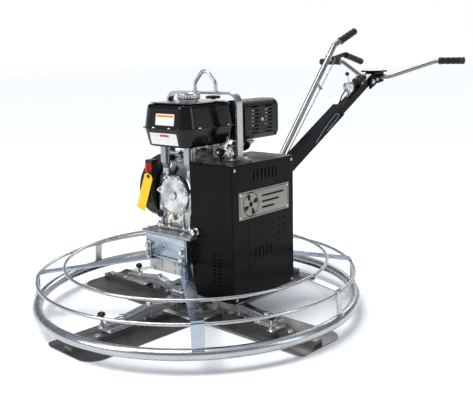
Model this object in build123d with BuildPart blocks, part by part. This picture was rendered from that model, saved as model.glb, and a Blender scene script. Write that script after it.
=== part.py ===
from build123d import *

import os
from math import acos, asin, atan2, cos, degrees, hypot, pi, radians, sin, tan

# Walk-behind power trowel, millimetres, +Z up, +Y towards the operator.
# The origin is on the floor, in the middle of the machine's outline.
# Every x, y below is measured from the rotor axis, which stands at ROTOR_Y.

# ---- driving dimensions -------------------------------------------------
GUARD_R = 566.0  # centre line of the guard ring tube
GUARD_TUBE_R = 18.0
GUARD_WALL = 4.0
GUARD_Z = 60.0
ROD_R = 5.5
UPPER_ROD_R = 561.5
UPPER_ROD_Z = 150.0
INNER_ROD_R = 466.0
INNER_ROD_Z = 189.0
SPOKE_W = 40.0
SPOKE_T = 6.0

HANDLE_Y = 1345.0  # grips of the handlebar
HANDLE_Z = 850.0
HANDLE_HALF = 384.0
GRIP_R = 17.0
BAR_R = 11.0
BAR_Y = 1232.0  # middle of the handlebar
BAR_Z = 782.0
ROTOR_Y = -(HANDLE_Y + GRIP_R - GUARD_R - GUARD_TUBE_R) / 2

BLADE_IN_R = 118.0
BLADE_OUT_R = 566.0
BLADE_LEAD = -110.0  # leading edge, from the arm's centre line
BLADE_TRAIL = 120.0
BLADE_T = 3.0
BAR_TOP = 20.0  # top of the bar under each arm
ARM_Z = 46.0  # pitch axis of the arms
ARM_SHANK_R = 14.0
SHANK_IN_R = 46.0
ARM_ANGLES = (267.5, -2.5, 87.5, 177.5)
ARM_SIDE = -10.0  # the blade's bar sits this far beside the arm's axis
PITCH_DEG = 12.0  # travel of the pitch lever and of the blades
HUB_BOTTOM = 22.0

RUN = 0.05  # radial clearance of a shaft in its bearing
SHAFT_R = 17.5  # vertical output shaft
FINGER_R = 78.0  # where an arm's finger meets the pressure plate
FINGER_T = 40.0
PLATE_Z = 80.5
PLATE_TRAVEL = FINGER_T * sin(radians(PITCH_DEG)) + 0.8
YOKE_PIVOT_Y = 120.0
YOKE_REAR_Y = 245.0
YOKE_Z = 127.0
YOKE_PIN_R = 8.0
YOKE_ARM_X = -62.0
YOKE_DEG = degrees(asin(PLATE_TRAVEL / YOKE_PIVOT_Y))
LINK_X = -72.0
LINK_PIN_R = 5.0
LINK_LEAN = 50.2  # of the pitch link, from upright

GEAR_TEETH = 20
GEAR_MODULE = 4.0
WORM_R = 16.0
WORM_SHAFT_R = 12.5
WORM_Y = GEAR_TEETH * GEAR_MODULE / 2 + WORM_R
WORM_Z = 205.0
WHEEL_R = 42.5
WHEEL_ROOT = 35.5
BEARING_R = 26.0
WORM_BEARING_R = 21.0
GEARBOX_X = (-90.0, 86.0)
GEARBOX_Y = (-88.0, 100.0)
GEARBOX_Z = (166.0, 262.0)
GEARBOX_WALL = 12.0
COVER_TOP = 203.0  # gearbox front cover
COVER_BOTTOM = 155.0
COVER_DEPTH = 34.0

BLOCK_Z = 210.0
BLOCK_W = 194.0
BLOCK_MID_X = -11.0
BLOCK_HALF_D = 140.0
BLOCK_T = 8.0
TONGUE_Z = 142.0  # lower end of the block's rear tongue, where the mast is fixed
DECK_Z = 297.0
DECK_T = 8.0
ENGINE_Z = DECK_Z + DECK_T
FLANGE_T = 17.0

ENGINE_X = (-100.0, 86.0)
CRANK_Z = 440.0
CRANK_R = 16.0
CYLINDER_TILT = 25.0
CYLINDER_X = -8.0
HOUSING_X = -160.0  # outer face of the fan housing
HOUSING_R = 114.0
RECOIL_X = -184.0
RECOIL_R = 90.0
STARTER_X = -173.0
SWITCH_XZ = (-112.0, 521.0)
SWITCH_Y = -106.0
TAG_XZ = (-106.0, 491.0)
TAG_Y = -118.0
TAG_TILT = 22.0
CRANK_PULLEY_R = 45.0
DRIVEN_PULLEY_R = 62.0
BELT_X = 150.0
BELT_W = 17.0
BELT_T = 10.0

COVER_X = (90.0, 271.0)
COVER_Y = (-108.0, 220.0)
COVER_Z = (95.0, 555.0)

TANK_X = (-75.0, 147.0)
TANK_Y = (-178.0, 77.0)
TANK_SEAM_Z = 670.0
TANK_LOW_Z = 608.0
TANK_TOP_Z = 752.0
CAP_XY = (36.0, -50.0)
AIR_XY = (-45.0, 158.0)
CARB_XY = (-101.0, 112.0)
MUFFLER_Y = (104.0, 271.0)
MUFFLER_XZ = (111.0, 677.0)

BALE_Y = 20.0
BALE_T = 8.0
BALE_X = (-128.0, 197.0)
BALE_TOP = 776.0
BALE_FOOT_TOP = COVER_Z[1] + BALE_T

MAST_TILT = 27.8
MAST_Y = 590.0  # a point on the mast's underside
MAST_Z = 444.5
MAST_HALF_W = 21.0
MAST_DEPTH = 54.0
MAST_END = 392.0  # upper end of the sleeve, along the mast
MAST_FOOT = (BLOCK_HALF_D - MAST_Y) / cos(radians(MAST_TILT))
TUBE_HALF_W = 17.0
TUBE_DEPTH = 34.0
TUBE_TOP = 3.0 + TUBE_DEPTH
TUBE_S = (120.0, 688.0)
THROTTLE_T = TUBE_TOP + 36.0

LEVER_X = -60.0
LEVER_Y = 467.0
LEVER_Z = 350.0
LEVER_TUBE_R = 12.0
LEVER_PIN_R = 10.0
LEVER_DIR = (0.6606, 0.7507)  # y and z of the lever's straight run
LEVER_END = (1139.0, 989.0)
SECTOR_R = 70.0
LATCH_ROD_R = 3.0
ROD_D = (71.0, 727.0)  # ends of the latch rod, along the lever and off it
ROD_N = (24.6, 46.0)

os.makedirs("parts", exist_ok=True)


# ---- planes, all measured from the rotor axis and the floor ---------------
def level(z, x=0.0, y=0.0):
    """Horizontal plane: local x and y are the machine's."""
    return Plane(origin=(x, ROTOR_Y + y, z))


def front(y, x=0.0, z=0.0):
    """Upright plane facing the front (-Y): local x is +X, local y is +Z."""
    return Plane(origin=(x, ROTOR_Y + y, z), x_dir=(1, 0, 0), z_dir=(0, -1, 0))


def side(x, y=0.0, z=0.0):
    """Upright plane facing +X: local x is +Y, local y is +Z."""
    return Plane(origin=(x, ROTOR_Y + y, z), x_dir=(0, 1, 0), z_dir=(1, 0, 0))


def upright(angle, x=0.0, y=0.0, shift=0.0):
    """Upright plane through x, y: local x runs along the angle, local y is +Z."""
    a = radians(angle)
    start = (x + shift * sin(a), ROTOR_Y + y - shift * cos(a), 0)
    return Plane(origin=start, x_dir=(cos(a), sin(a), 0), z_dir=(sin(a), -cos(a), 0))


def outward(angle, r, z=0.0):
    """Upright plane at radius r that faces outwards: local x is tangential, y is +Z."""
    a = radians(angle)
    return Plane(origin=(r * cos(a), ROTOR_Y + r * sin(a), z), x_dir=(-sin(a), cos(a), 0),
                 z_dir=(cos(a), sin(a), 0))


def turned_level(z, angle):
    """Horizontal plane at the rotor axis: local x points along the angle."""
    a = radians(angle)
    return Plane(origin=(0, ROTOR_Y, z), x_dir=(cos(a), sin(a), 0), z_dir=(0, 0, 1))


def mast(x):
    """Upright plane facing +X: local x runs up along the mast, y square to it."""
    a = radians(MAST_TILT)
    return Plane(origin=(x, ROTOR_Y + MAST_Y, MAST_Z), x_dir=(0, cos(a), sin(a)), z_dir=(1, 0, 0))


def tube(line, radius):
    """Sweep a round section along the pending path of a part."""
    with BuildSketch(Plane(origin=line @ 0, z_dir=line % 0)) as section:
        Circle(radius)
    sweep(section.sketch)


def strap(line, plane, width, thickness):
    """Sweep a flat bar along the pending path drawn on a plane, its width square to the plane."""
    with BuildSketch(Plane(origin=line @ 0, x_dir=plane.z_dir, z_dir=line % 0)) as section:
        Rectangle(width, thickness)
    sweep(section.sketch)


def hex_head(plane, across, height):
    """One hexagon bolt head that stands on a plane."""
    with BuildSketch(plane) as outline:
        RegularPolygon(across / 2, 6, major_radius=False)
    extrude(outline.sketch, amount=height)


def disc(plane, radius, height, bore=0.0):
    """One round boss or washer that stands on a plane."""
    with BuildSketch(plane) as outline:
        Circle(radius)
        if bore:
            Circle(bore, mode=Mode.SUBTRACT)
    extrude(outline.sketch, amount=height)


def hole(plane, radius, depth):
    """Cut one round hole from a plane, along its normal."""
    with BuildSketch(plane) as outline:
        Circle(radius)
    extrude(outline.sketch, amount=depth, mode=Mode.SUBTRACT)


def polar(angle, r, t=0.0):
    """x and y of a point at radius r and at t beside it, counter-clockwise."""
    a = radians(angle)
    return r * cos(a) - t * sin(a), r * sin(a) + t * cos(a)


def mast_point(s, t):
    """y and z of a point at s along the mast and t above its underside."""
    a = radians(MAST_TILT)
    return MAST_Y + s * cos(a) - t * sin(a), MAST_Z + s * sin(a) + t * cos(a)


def along_lever(d, n):
    """y and z of a point at d along the pitch lever and n off it, towards the operator."""
    return (LEVER_Y + d * LEVER_DIR[0] + n * LEVER_DIR[1], LEVER_Z + d * LEVER_DIR[1] - n * LEVER_DIR[0])


def rod_offset(d):
    """Distance of the latch rod from the pitch lever's line at d along it."""
    return ROD_N[0] + (ROD_N[1] - ROD_N[0]) * (d - ROD_D[0]) / (ROD_D[1] - ROD_D[0])


def starter_plane(distance):
    """Plane across the starter rope at a distance from the crankshaft."""
    lean = radians(30)
    return Plane(origin=(STARTER_X, ROTOR_Y + distance * cos(lean), CRANK_Z + distance * sin(lean)),
                 x_dir=(1, 0, 0), z_dir=(0, cos(lean), sin(lean)))


def grooved_pulley(y, z, radius, bore):
    """One V-belt pulley on an axis along X: two flanges and a narrower groove."""
    half = BELT_W / 2
    for start, width, size in ((-half - 5, 5, radius + 6), (-half, BELT_W, radius - 4), (half, 5, radius + 6)):
        disc(side(BELT_X + start, y, z), size, width, bore)


LINK_ARM = ((YOKE_REAR_Y - YOKE_PIVOT_Y) * sin(radians(YOKE_DEG)) * cos(radians(LINK_LEAN))
            / sin(radians(PITCH_DEG)))
LINK_TOP = (LEVER_Y + LINK_ARM * cos(radians(LINK_LEAN)), LEVER_Z - LINK_ARM * sin(radians(LINK_LEAN)))
SQUEEZE_PIVOT = along_lever(716, 24)
SPOKE_SLOT = (170.0, 195.0)
TANK_MID = ((TANK_X[0] + TANK_X[1]) / 2, (TANK_Y[0] + TANK_Y[1]) / 2)


# ---- guard: bottom ring, two rods, brackets and spokes ---------------------
with BuildPart(level(GUARD_Z)) as guard_ring:
    Torus(GUARD_R, GUARD_TUBE_R)
    Torus(GUARD_R, GUARD_TUBE_R - GUARD_WALL, mode=Mode.SUBTRACT)
guard_ring.part.label = "guard_ring"
export_step(guard_ring.part, "parts/guard_ring.step")

with BuildPart(level(UPPER_ROD_Z)) as guard_rods:
    Torus(UPPER_ROD_R, ROD_R)
    with Locations((0, 0, INNER_ROD_Z - UPPER_ROD_Z)):
        Torus(INNER_ROD_R, ROD_R)
    for bracket_angle in (7, 180):
        bracket_plane = upright(bracket_angle)
        with BuildLine(bracket_plane) as bracket_path:
            FilletPolyline((INNER_ROD_R - 6, INNER_ROD_Z - 7), (GUARD_R - 4, UPPER_ROD_Z + 9),
                           (GUARD_R + 4, GUARD_Z + GUARD_TUBE_R - 1), radius=6)
        strap(bracket_path.line, bracket_plane, 30, 5)
guard_rods.part.label = "guard_rods"
export_step(guard_rods.part, "parts/guard_rods.step")

SPOKE_STARTS = ((84, -148, -46), (-84, -148, -134), (-84, 148, 134), (84, 148, 46))
with BuildPart() as guard_spokes:
    for start_x, start_y, ring_angle in SPOKE_STARTS:
        end_x = GUARD_R * cos(radians(ring_angle))
        end_y = GUARD_R * sin(radians(ring_angle))
        run = hypot(end_x - start_x, end_y - start_y)
        spoke_plane = upright(degrees(atan2(end_y - start_y, end_x - start_x)), start_x, start_y)
        with BuildLine(spoke_plane) as spoke_path:
            FilletPolyline((-24, BLOCK_Z - SPOKE_T / 2), (8, BLOCK_Z - SPOKE_T / 2),
                           (run, UPPER_ROD_Z + 7), (run + 4, GUARD_Z + GUARD_TUBE_R - 1), radius=8)
        strap(spoke_path.line, spoke_plane, SPOKE_W, SPOKE_T)
guard_spokes.part.label = "guard_spokes"
export_step(guard_spokes.part, "parts/guard_spokes.step")

# ---- mount block under the engine, and the engine deck ------------------------
with BuildPart() as mount_block:
    with BuildSketch(level(BLOCK_Z, BLOCK_MID_X)):
        RectangleRounded(BLOCK_W, 2 * BLOCK_HALF_D, 6)
    extrude(amount=DECK_Z - BLOCK_Z)
    with BuildSketch(level(BLOCK_Z + SPOKE_T, BLOCK_MID_X)):
        Rectangle(BLOCK_W - 2 * BLOCK_T, 2 * (BLOCK_HALF_D - BLOCK_T))
    extrude(amount=DECK_Z - BLOCK_Z - SPOKE_T - BLOCK_T, mode=Mode.SUBTRACT)
    with BuildSketch(level(BLOCK_Z - 1, BLOCK_MID_X)):
        Rectangle(BLOCK_W + 20, 2 * GEARBOX_Y[1] + 8)
    extrude(amount=GEARBOX_Z[1] - BLOCK_Z + 9, mode=Mode.SUBTRACT)
    with BuildSketch(front(BLOCK_HALF_D, 0, (BLOCK_Z + TONGUE_Z) / 2)):
        Rectangle(76, BLOCK_Z - TONGUE_Z + 4)
    extrude(amount=BLOCK_T)
    hole(front(-BLOCK_HALF_D + BLOCK_T + 1, -20, 270), 5, BLOCK_T + 2)
mount_block.part.label = "mount_block"
export_step(mount_block.part, "parts/mount_block.step")

with BuildPart() as engine_deck:
    with BuildSketch(level(DECK_Z)) as deck_outline:
        with BuildLine():
            Polyline((-130, -147), (115, -147), (115, -112), (86, -112), (86, 150), (-130, 150),
                     close=True)
        make_face()
        fillet(deck_outline.vertices().sort_by(Axis.X)[:2], 12)
    extrude(amount=DECK_T)
engine_deck.part.label = "engine_deck"
export_step(engine_deck.part, "parts/engine_deck.step")

with BuildPart() as frame_bolts:
    for bolt_x, bolt_y in ((-108, -126), (62, -126), (-108, 130), (62, 130)):
        hex_head(level(ENGINE_Z, bolt_x, bolt_y), 17, 8)
    for bolt_x in (-88, 66):
        for bolt_y in (-93, 99):
            hex_head(level(ENGINE_Z + FLANGE_T, bolt_x, bolt_y), 13, 7)
    for bolt_x in (-94, 72):
        for bolt_z in (BLOCK_Z + 14, BLOCK_Z + 38):
            hex_head(front(-BLOCK_HALF_D, bolt_x, bolt_z), 17, 8)
    for bolt_x, bolt_y in ((68, -136), (-68, -136), (-68, 136), (68, 136)):
        hex_head(level(BLOCK_Z - SPOKE_T - 7, bolt_x, bolt_y), 17, 7)
    disc(front(COVER_Y[0], 106, 320), 10, 12)
    hex_head(level(BALE_FOOT_TOP, 222, BALE_Y), 14, 7)
    hex_head(level(BALE_FOOT_TOP, -84, BALE_Y), 14, 7)
frame_bolts.part.label = "frame_bolts"
export_step(frame_bolts.part, "parts/frame_bolts.step")

# ---- gearbox: housing, front cover and bearings --------------------------------
with BuildPart() as gearbox_housing:
    gearbox_mid = ((GEARBOX_X[0] + GEARBOX_X[1]) / 2, (GEARBOX_Y[0] + GEARBOX_Y[1]) / 2)
    gearbox_size = (GEARBOX_X[1] - GEARBOX_X[0], GEARBOX_Y[1] - GEARBOX_Y[0])
    with BuildSketch(level(GEARBOX_Z[0], *gearbox_mid)):
        RectangleRounded(*gearbox_size, 10)
    extrude(amount=GEARBOX_Z[1] - GEARBOX_Z[0])
    with BuildSketch(level(GEARBOX_Z[0] + GEARBOX_WALL, *gearbox_mid)):
        Rectangle(gearbox_size[0] - 2 * GEARBOX_WALL, gearbox_size[1] - 2 * GEARBOX_WALL)
    extrude(amount=GEARBOX_Z[1] - GEARBOX_Z[0] - 2 * GEARBOX_WALL, mode=Mode.SUBTRACT)
    for pad_x in (-60, 56):
        for pad_y in (-66, 78):
            disc(level(GEARBOX_Z[1], pad_x, pad_y), 14, DECK_Z - BLOCK_T - GEARBOX_Z[1])
    hole(level(GEARBOX_Z[0] - 1), BEARING_R, GEARBOX_Z[1] - GEARBOX_Z[0] + 2)
    hole(side(GEARBOX_X[0] - 1, WORM_Y, WORM_Z), WORM_BEARING_R, GEARBOX_X[1] - GEARBOX_X[0] + 2)
    for ear_x in (-44, 34):
        with BuildSketch(side(ear_x)) as ear:
            with BuildLine():
                Polyline((60, GEARBOX_Z[0]), (98, GEARBOX_Z[0]), (132, YOKE_Z + 10), (132, YOKE_Z - 12),
                         (108, YOKE_Z - 12), close=True)
            make_face()
            fillet(ear.vertices().sort_by(Axis.Z)[:2], 8)
            with Locations((YOKE_PIVOT_Y, YOKE_Z)):
                Circle(YOKE_PIN_R, mode=Mode.SUBTRACT)
        extrude(amount=10)
gearbox_housing.part.label = "gearbox_housing"
export_step(gearbox_housing.part, "parts/gearbox_housing.step")

with BuildPart() as gearbox_cover:
    with BuildSketch(front(GEARBOX_Y[0], BLOCK_MID_X - 5, (COVER_TOP + COVER_BOTTOM) / 2)):
        RectangleRounded(BLOCK_W + 6, COVER_TOP - COVER_BOTTOM, 6)
    extrude(amount=COVER_DEPTH)
    with BuildSketch(front(GEARBOX_Y[0], 10, 184)):
        Rectangle(110, 28)
    extrude(amount=COVER_DEPTH - 4, mode=Mode.SUBTRACT)
    with BuildSketch(front(GEARBOX_Y[0] - COVER_DEPTH, -54, (COVER_TOP + COVER_BOTTOM) / 2)):
        Rectangle(5, COVER_TOP - COVER_BOTTOM - 4)
    extrude(amount=3)
gearbox_cover.part.label = "gearbox_cover"
export_step(gearbox_cover.part, "parts/gearbox_cover.step")

with BuildPart() as gearbox_bearings:
    for bearing_z in (GEARBOX_Z[0], GEARBOX_Z[1] - GEARBOX_WALL):
        disc(level(bearing_z), BEARING_R, GEARBOX_WALL, SHAFT_R + RUN)
    for bearing_x in (GEARBOX_X[0], GEARBOX_X[1] - GEARBOX_WALL):
        disc(side(bearing_x, WORM_Y, WORM_Z), WORM_BEARING_R, GEARBOX_WALL, WORM_SHAFT_R + RUN)
gearbox_bearings.part.label = "gearbox_bearings"
export_step(gearbox_bearings.part, "parts/gearbox_bearings.step")

# ---- worm drive ------------------------------------------------------------------
WORM_PITCH = pi * GEAR_MODULE
WORM_TURNS = 4.5
WORM_START = -WORM_PITCH * (WORM_TURNS - 0.5) / 2 - WORM_PITCH / 4
with BuildPart() as worm_shaft:
    with BuildSketch(side(GEARBOX_X[0] + 2, WORM_Y, WORM_Z)):
        Circle(WORM_SHAFT_R)
    extrude(amount=BELT_X + 24 - GEARBOX_X[0] - 2)
    with BuildLine() as worm_path:
        Helix(WORM_PITCH, WORM_PITCH * WORM_TURNS, WORM_SHAFT_R - 0.5,
              center=(WORM_START, ROTOR_Y + WORM_Y, WORM_Z), direction=(1, 0, 0))
    thread_start = worm_path.line @ 0
    thread_out = thread_start - Vector(WORM_START, ROTOR_Y + WORM_Y, WORM_Z)
    with BuildSketch(Plane(origin=thread_start, x_dir=thread_out, z_dir=worm_path.line % 0)):
        with BuildLine():
            Polyline((0, -2.7), (7.5, -1.2), (7.5, 1.2), (0, 2.7), close=True)
        make_face()
    sweep(is_frenet=True)
worm_shaft.part.label = "worm_shaft"
export_step(worm_shaft.part, "parts/worm_shaft.step")

with BuildPart(level(WORM_Z)) as worm_wheel:
    Cylinder(WHEEL_R, 20)
    Cylinder(28, 32)
    with BuildSketch(level(WORM_Z - 10)) as slots:
        with PolarLocations(0, GEAR_TEETH, start_angle=90):
            Polygon((WHEEL_ROOT, -2.8), (WHEEL_R + 1, -5.2), (WHEEL_R + 1, 5.2), (WHEEL_ROOT, 2.8),
                    align=None)
    extrude(amount=20, mode=Mode.SUBTRACT)
    Cylinder(SHAFT_R, 40, mode=Mode.SUBTRACT)
worm_wheel.part.label = "worm_wheel"
export_step(worm_wheel.part, "parts/worm_wheel.step")

with BuildPart() as output_shaft:
    disc(level(HUB_BOTTOM), SHAFT_R, GEARBOX_Z[1] - HUB_BOTTOM - 2)
    hex_head(level(HUB_BOTTOM - 8), 30, 8)
output_shaft.part.label = "output_shaft"
export_step(output_shaft.part, "parts/output_shaft.step")

# ---- rotor hub, pressure plate, thrust collar and yoke ---------------------------
with BuildPart() as spider_hub:
    disc(level(HUB_BOTTOM), 126, 5)
    disc(level(HUB_BOTTOM), 58, 48)
    for arm_angle in ARM_ANGLES:
        with BuildSketch(outward(arm_angle, 100, ARM_Z)):
            RectangleRounded(48, 44, 8)
        extrude(amount=24)
        with BuildSketch(upright(arm_angle, shift=-24)):
            with Locations((86, 31)):
                Rectangle(60, 12)
        extrude(amount=6)
        with BuildSketch(upright(arm_angle, shift=18)):
            with Locations((86, 31)):
                Rectangle(60, 12)
        extrude(amount=6)
    for arm_angle in ARM_ANGLES:
        hole(outward(arm_angle, SHANK_IN_R - 1, ARM_Z), ARM_SHANK_R + RUN, 90)
    hole(level(HUB_BOTTOM), SHAFT_R, 60)
spider_hub.part.label = "spider_hub"
export_step(spider_hub.part, "parts/spider_hub.step")

with BuildPart() as pressure_plate:
    disc(level(PLATE_Z), 100, 8, SHAFT_R + RUN)
    disc(level(PLATE_Z), 28, 32, SHAFT_R + RUN)
    with BuildSketch(level(PLATE_Z)):
        with PolarLocations(66, 4, start_angle=45):
            Circle(16)
    extrude(amount=8, mode=Mode.SUBTRACT)
    chamfer(pressure_plate.edges().filter_by(GeomType.CIRCLE).sort_by(Axis.Z)[-1], 1.5)
pressure_plate.part.label = "pressure_plate"
export_step(pressure_plate.part, "parts/pressure_plate.step")

with BuildPart() as thrust_collar:
    disc(level(PLATE_Z + 33), 32, 28, SHAFT_R + RUN)
    for pin_sign in (-1, 1):
        with BuildSketch(side(pin_sign * 24, 0, YOKE_Z)):
            Circle(6)
        extrude(amount=pin_sign * 28)
    hole(level(PLATE_Z + 32), SHAFT_R + RUN, 40)
thrust_collar.part.label = "thrust_collar"
export_step(thrust_collar.part, "parts/thrust_collar.step")

with BuildPart() as pitch_yoke:
    for tine_x in (-53, 45):
        with BuildSketch(side(tine_x)) as tine:
            with BuildLine():
                Polyline((-16, YOKE_Z - 12), (YOKE_PIVOT_Y, YOKE_Z - 12), (YOKE_PIVOT_Y, YOKE_Z + 12),
                         (-16, YOKE_Z + 12), close=True)
            make_face()
            fillet(tine.vertices().sort_by(Axis.Y)[:2], 8)
            with Locations((0, YOKE_Z)):
                SlotOverall(18, 13.2, mode=Mode.SUBTRACT)
        extrude(amount=8)
    with BuildSketch(side(YOKE_ARM_X - 4)) as rear_arm:
        with BuildLine():
            Polyline((YOKE_PIVOT_Y, YOKE_Z - 12), (YOKE_REAR_Y, YOKE_Z - 9), (YOKE_REAR_Y, YOKE_Z + 9),
                     (YOKE_PIVOT_Y, YOKE_Z + 12), close=True)
        make_face()
    extrude(amount=8)
    disc(side(YOKE_ARM_X - 4, YOKE_REAR_Y, YOKE_Z), 11, 8)
    disc(side(YOKE_ARM_X - 4, YOKE_PIVOT_Y, YOKE_Z), 12, -YOKE_ARM_X - 45 + 4)
    disc(side(45, YOKE_PIVOT_Y, YOKE_Z), 12, 8)
    with BuildSketch(side(YOKE_ARM_X - 4, YOKE_PIVOT_Y, YOKE_Z)):
        Circle(YOKE_PIN_R - RUN)
    extrude(amount=53 - YOKE_ARM_X + 4)
    disc(side(LINK_X - 5, YOKE_REAR_Y, YOKE_Z), LINK_PIN_R, YOKE_ARM_X - 4 - LINK_X + 5)
pitch_yoke.part.label = "pitch_yoke"
export_step(pitch_yoke.part, "parts/pitch_yoke.step")

# ---- trowel arms: shank, finger, cast arm, foot and pitch knob ---------------------
for number, arm_angle in enumerate(ARM_ANGLES, start=1):
    with BuildPart() as trowel_arm:
        disc(outward(arm_angle, SHANK_IN_R, ARM_Z), ARM_SHANK_R, 130 - SHANK_IN_R)
        disc(outward(arm_angle, 70, ARM_Z), 17, 16)
        with BuildSketch(outward(arm_angle, 70, 0)):
            with Locations((24, 61)):
                RectangleRounded(48, 18, 4)
            with Locations((0, 56)):
                Rectangle(20, 12)
        extrude(amount=16)
        finger_x, finger_y = polar(arm_angle, FINGER_R, FINGER_T)
        hex_head(level(68, finger_x, finger_y), 11, PLATE_Z - 1 - 68)
        with BuildSketch(upright(arm_angle, shift=-ARM_SIDE - 15)):
            with BuildLine():
                Polyline((126, 34), (126, 60), (176, 60), (206, 68), (250, 68), (330, 56), (405, 52),
                         (405, BAR_TOP), (292, BAR_TOP), (270, 38), (226, 40), (190, 34), close=True)
            make_face()
        extrude(amount=30)
        fillet(trowel_arm.faces().sort_by(Axis.Z)[-1].edges(), 3)
        with BuildSketch(turned_level(BAR_TOP, arm_angle)):
            with Locations((350, ARM_SIDE)):
                RectangleRounded(116, 44, 6)
            with Locations((392, -42)):
                RectangleRounded(30, 40, 6)
        extrude(amount=6)
        for bolt_r, bolt_top in ((222, 76), (340, 63)):
            bolt_x, bolt_y = polar(arm_angle, bolt_r, ARM_SIDE)
            hex_head(level(BAR_TOP + 30, bolt_x, bolt_y), 17, bolt_top - BAR_TOP - 30)
        stem_x, stem_y = polar(arm_angle, 394, -48)
        disc(level(BAR_TOP, stem_x, stem_y), 5, 44)
        with Locations(level(BAR_TOP + 50, stem_x, stem_y)):
            Sphere(10)
    trowel_arm.part.label = f"trowel_arm_{number}"
    export_step(trowel_arm.part, f"parts/trowel_arm_{number}.step")

# ---- blades: sheet with a turned-up leading edge, and its mounting bar ----------------
for number, arm_angle in enumerate(ARM_ANGLES, start=1):
    with BuildPart() as blade:
        with BuildSketch(outward(arm_angle, BLADE_IN_R)) as blade_section:
            with BuildLine():
                Polyline((BLADE_TRAIL, 0), (BLADE_LEAD + 22, 0), (BLADE_LEAD, 7), (BLADE_LEAD, 7 + BLADE_T),
                         (BLADE_LEAD + 22, BLADE_T), (BLADE_TRAIL, BLADE_T), close=True)
            make_face()
        extrude(amount=BLADE_OUT_R - BLADE_IN_R)
        with BuildSketch(turned_level(-1, arm_angle)) as outline:
            with Locations(((BLADE_IN_R + BLADE_OUT_R) / 2, (BLADE_LEAD + BLADE_TRAIL) / 2)):
                Rectangle(BLADE_OUT_R - BLADE_IN_R, BLADE_TRAIL - BLADE_LEAD)
            fillet(outline.vertices().sort_by_distance((BLADE_OUT_R, BLADE_TRAIL, 0))[0], 62)
            fillet(outline.vertices().sort_by_distance((BLADE_OUT_R, BLADE_LEAD, 0))[0], 12)
        extrude(amount=14, mode=Mode.INTERSECT)
        with BuildSketch(outward(arm_angle, 150)):
            with Locations((ARM_SIDE, (BLADE_T + BAR_TOP) / 2)):
                Rectangle(40, BAR_TOP - BLADE_T)
        extrude(amount=BLADE_OUT_R - 12 - 150)
    blade.part.label = f"blade_{number}"
    export_step(blade.part, f"parts/blade_{number}.step")

# ---- engine: crankcase, cylinder head, crankshaft and flywheel --------------------------
tilt = radians(CYLINDER_TILT)
with BuildPart() as crankcase:
    with BuildSketch(side(ENGINE_X[0])):
        with BuildLine():
            Polyline((-102, ENGINE_Z), (106, ENGINE_Z), (106, ENGINE_Z + FLANGE_T),
                     (92, ENGINE_Z + FLANGE_T), (96, 402), (112.2, 423.8), (59.8, 536.2), (52, 538),
                     (-40, 538), (-82, 496), (-95, 440), (-84, ENGINE_Z + FLANGE_T),
                     (-102, ENGINE_Z + FLANGE_T), close=True)
        make_face()
    extrude(amount=ENGINE_X[1] - ENGINE_X[0])
    hole(side(ENGINE_X[0] + 18, 0, CRANK_Z), 78, ENGINE_X[1] - ENGINE_X[0] - 36)
    hole(side(ENGINE_X[0] - 1, 0, CRANK_Z), CRANK_R + RUN, ENGINE_X[1] - ENGINE_X[0] + 2)
    hole(Plane(origin=(CYLINDER_X, ROTOR_Y, CRANK_Z), z_dir=(0, cos(tilt), sin(tilt))), 44, 110)
    with BuildSketch(level(530, -84, BALE_Y)):
        RectangleRounded(32, 40, 6)
    extrude(amount=BALE_FOOT_TOP - BALE_T - 530)
crankcase.part.label = "crankcase"
export_step(crankcase.part, "parts/crankcase.step")


def along_cylinder(distance):
    """Plane across the cylinder's axis at a distance from the crankshaft."""
    origin = (CYLINDER_X, ROTOR_Y + distance * cos(tilt), CRANK_Z + distance * sin(tilt))
    return Plane(origin=origin, x_dir=(1, 0, 0), z_dir=(0, cos(tilt), sin(tilt)))


with BuildPart() as cylinder_head:
    disc(along_cylinder(95.1), 54, 110)
    for fin in range(8):
        with BuildSketch(along_cylinder(102 + 12 * fin)):
            RectangleRounded(130, 122, 12)
        extrude(amount=4)
    with BuildSketch(along_cylinder(178)):
        RectangleRounded(112, 108, 10)
    extrude(amount=24)
    hole(along_cylinder(95), 44, 84)
cylinder_head.part.label = "cylinder_head"
export_step(cylinder_head.part, "parts/cylinder_head.step")

with BuildPart() as valve_cover:
    with BuildSketch(along_cylinder(205.2)) as cover_base:
        RectangleRounded(104, 92, 14)
    extrude(amount=30, taper=6)
    fillet(valve_cover.faces().sort_by(Axis.Y)[-1].edges(), 5)
valve_cover.part.label = "valve_cover"
export_step(valve_cover.part, "parts/valve_cover.step")

with BuildPart() as crankshaft:
    disc(side(HOUSING_X + 2, 0, CRANK_Z), CRANK_R, -HOUSING_X - 2 - 26)
    disc(side(26, 0, CRANK_Z), CRANK_R, BELT_X + 30 - 26)
    for web_x in (-26, 10):
        disc(side(web_x, 0, CRANK_Z), 58, 16)
    disc(side(-12, 0, CRANK_Z + 32), 17, 24)
crankshaft.part.label = "crankshaft"
export_step(crankshaft.part, "parts/crankshaft.step")

with BuildPart() as flywheel:
    disc(side(-140, 0, CRANK_Z), 98, 20, CRANK_R)
    disc(side(-150, 0, CRANK_Z), 34, 36, CRANK_R)
    with BuildSketch(side(-154, 0, CRANK_Z)):
        with PolarLocations(76, 16):
            Rectangle(40, 4)
    extrude(amount=15)
flywheel.part.label = "flywheel"
export_step(flywheel.part, "parts/flywheel.step")

with BuildPart() as clutch_pulley:
    with BuildSketch(side(108, 0, CRANK_Z)):
        Circle(56)
        Circle(CRANK_R, mode=Mode.SUBTRACT)
    extrude(amount=24)
    grooved_pulley(0, CRANK_Z, CRANK_PULLEY_R, CRANK_R)
clutch_pulley.part.label = "clutch_pulley"
export_step(clutch_pulley.part, "parts/clutch_pulley.step")

with BuildPart() as driven_pulley:
    grooved_pulley(WORM_Y, WORM_Z, DRIVEN_PULLEY_R, WORM_SHAFT_R)
driven_pulley.part.label = "driven_pulley"
export_step(driven_pulley.part, "parts/driven_pulley.step")

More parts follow.
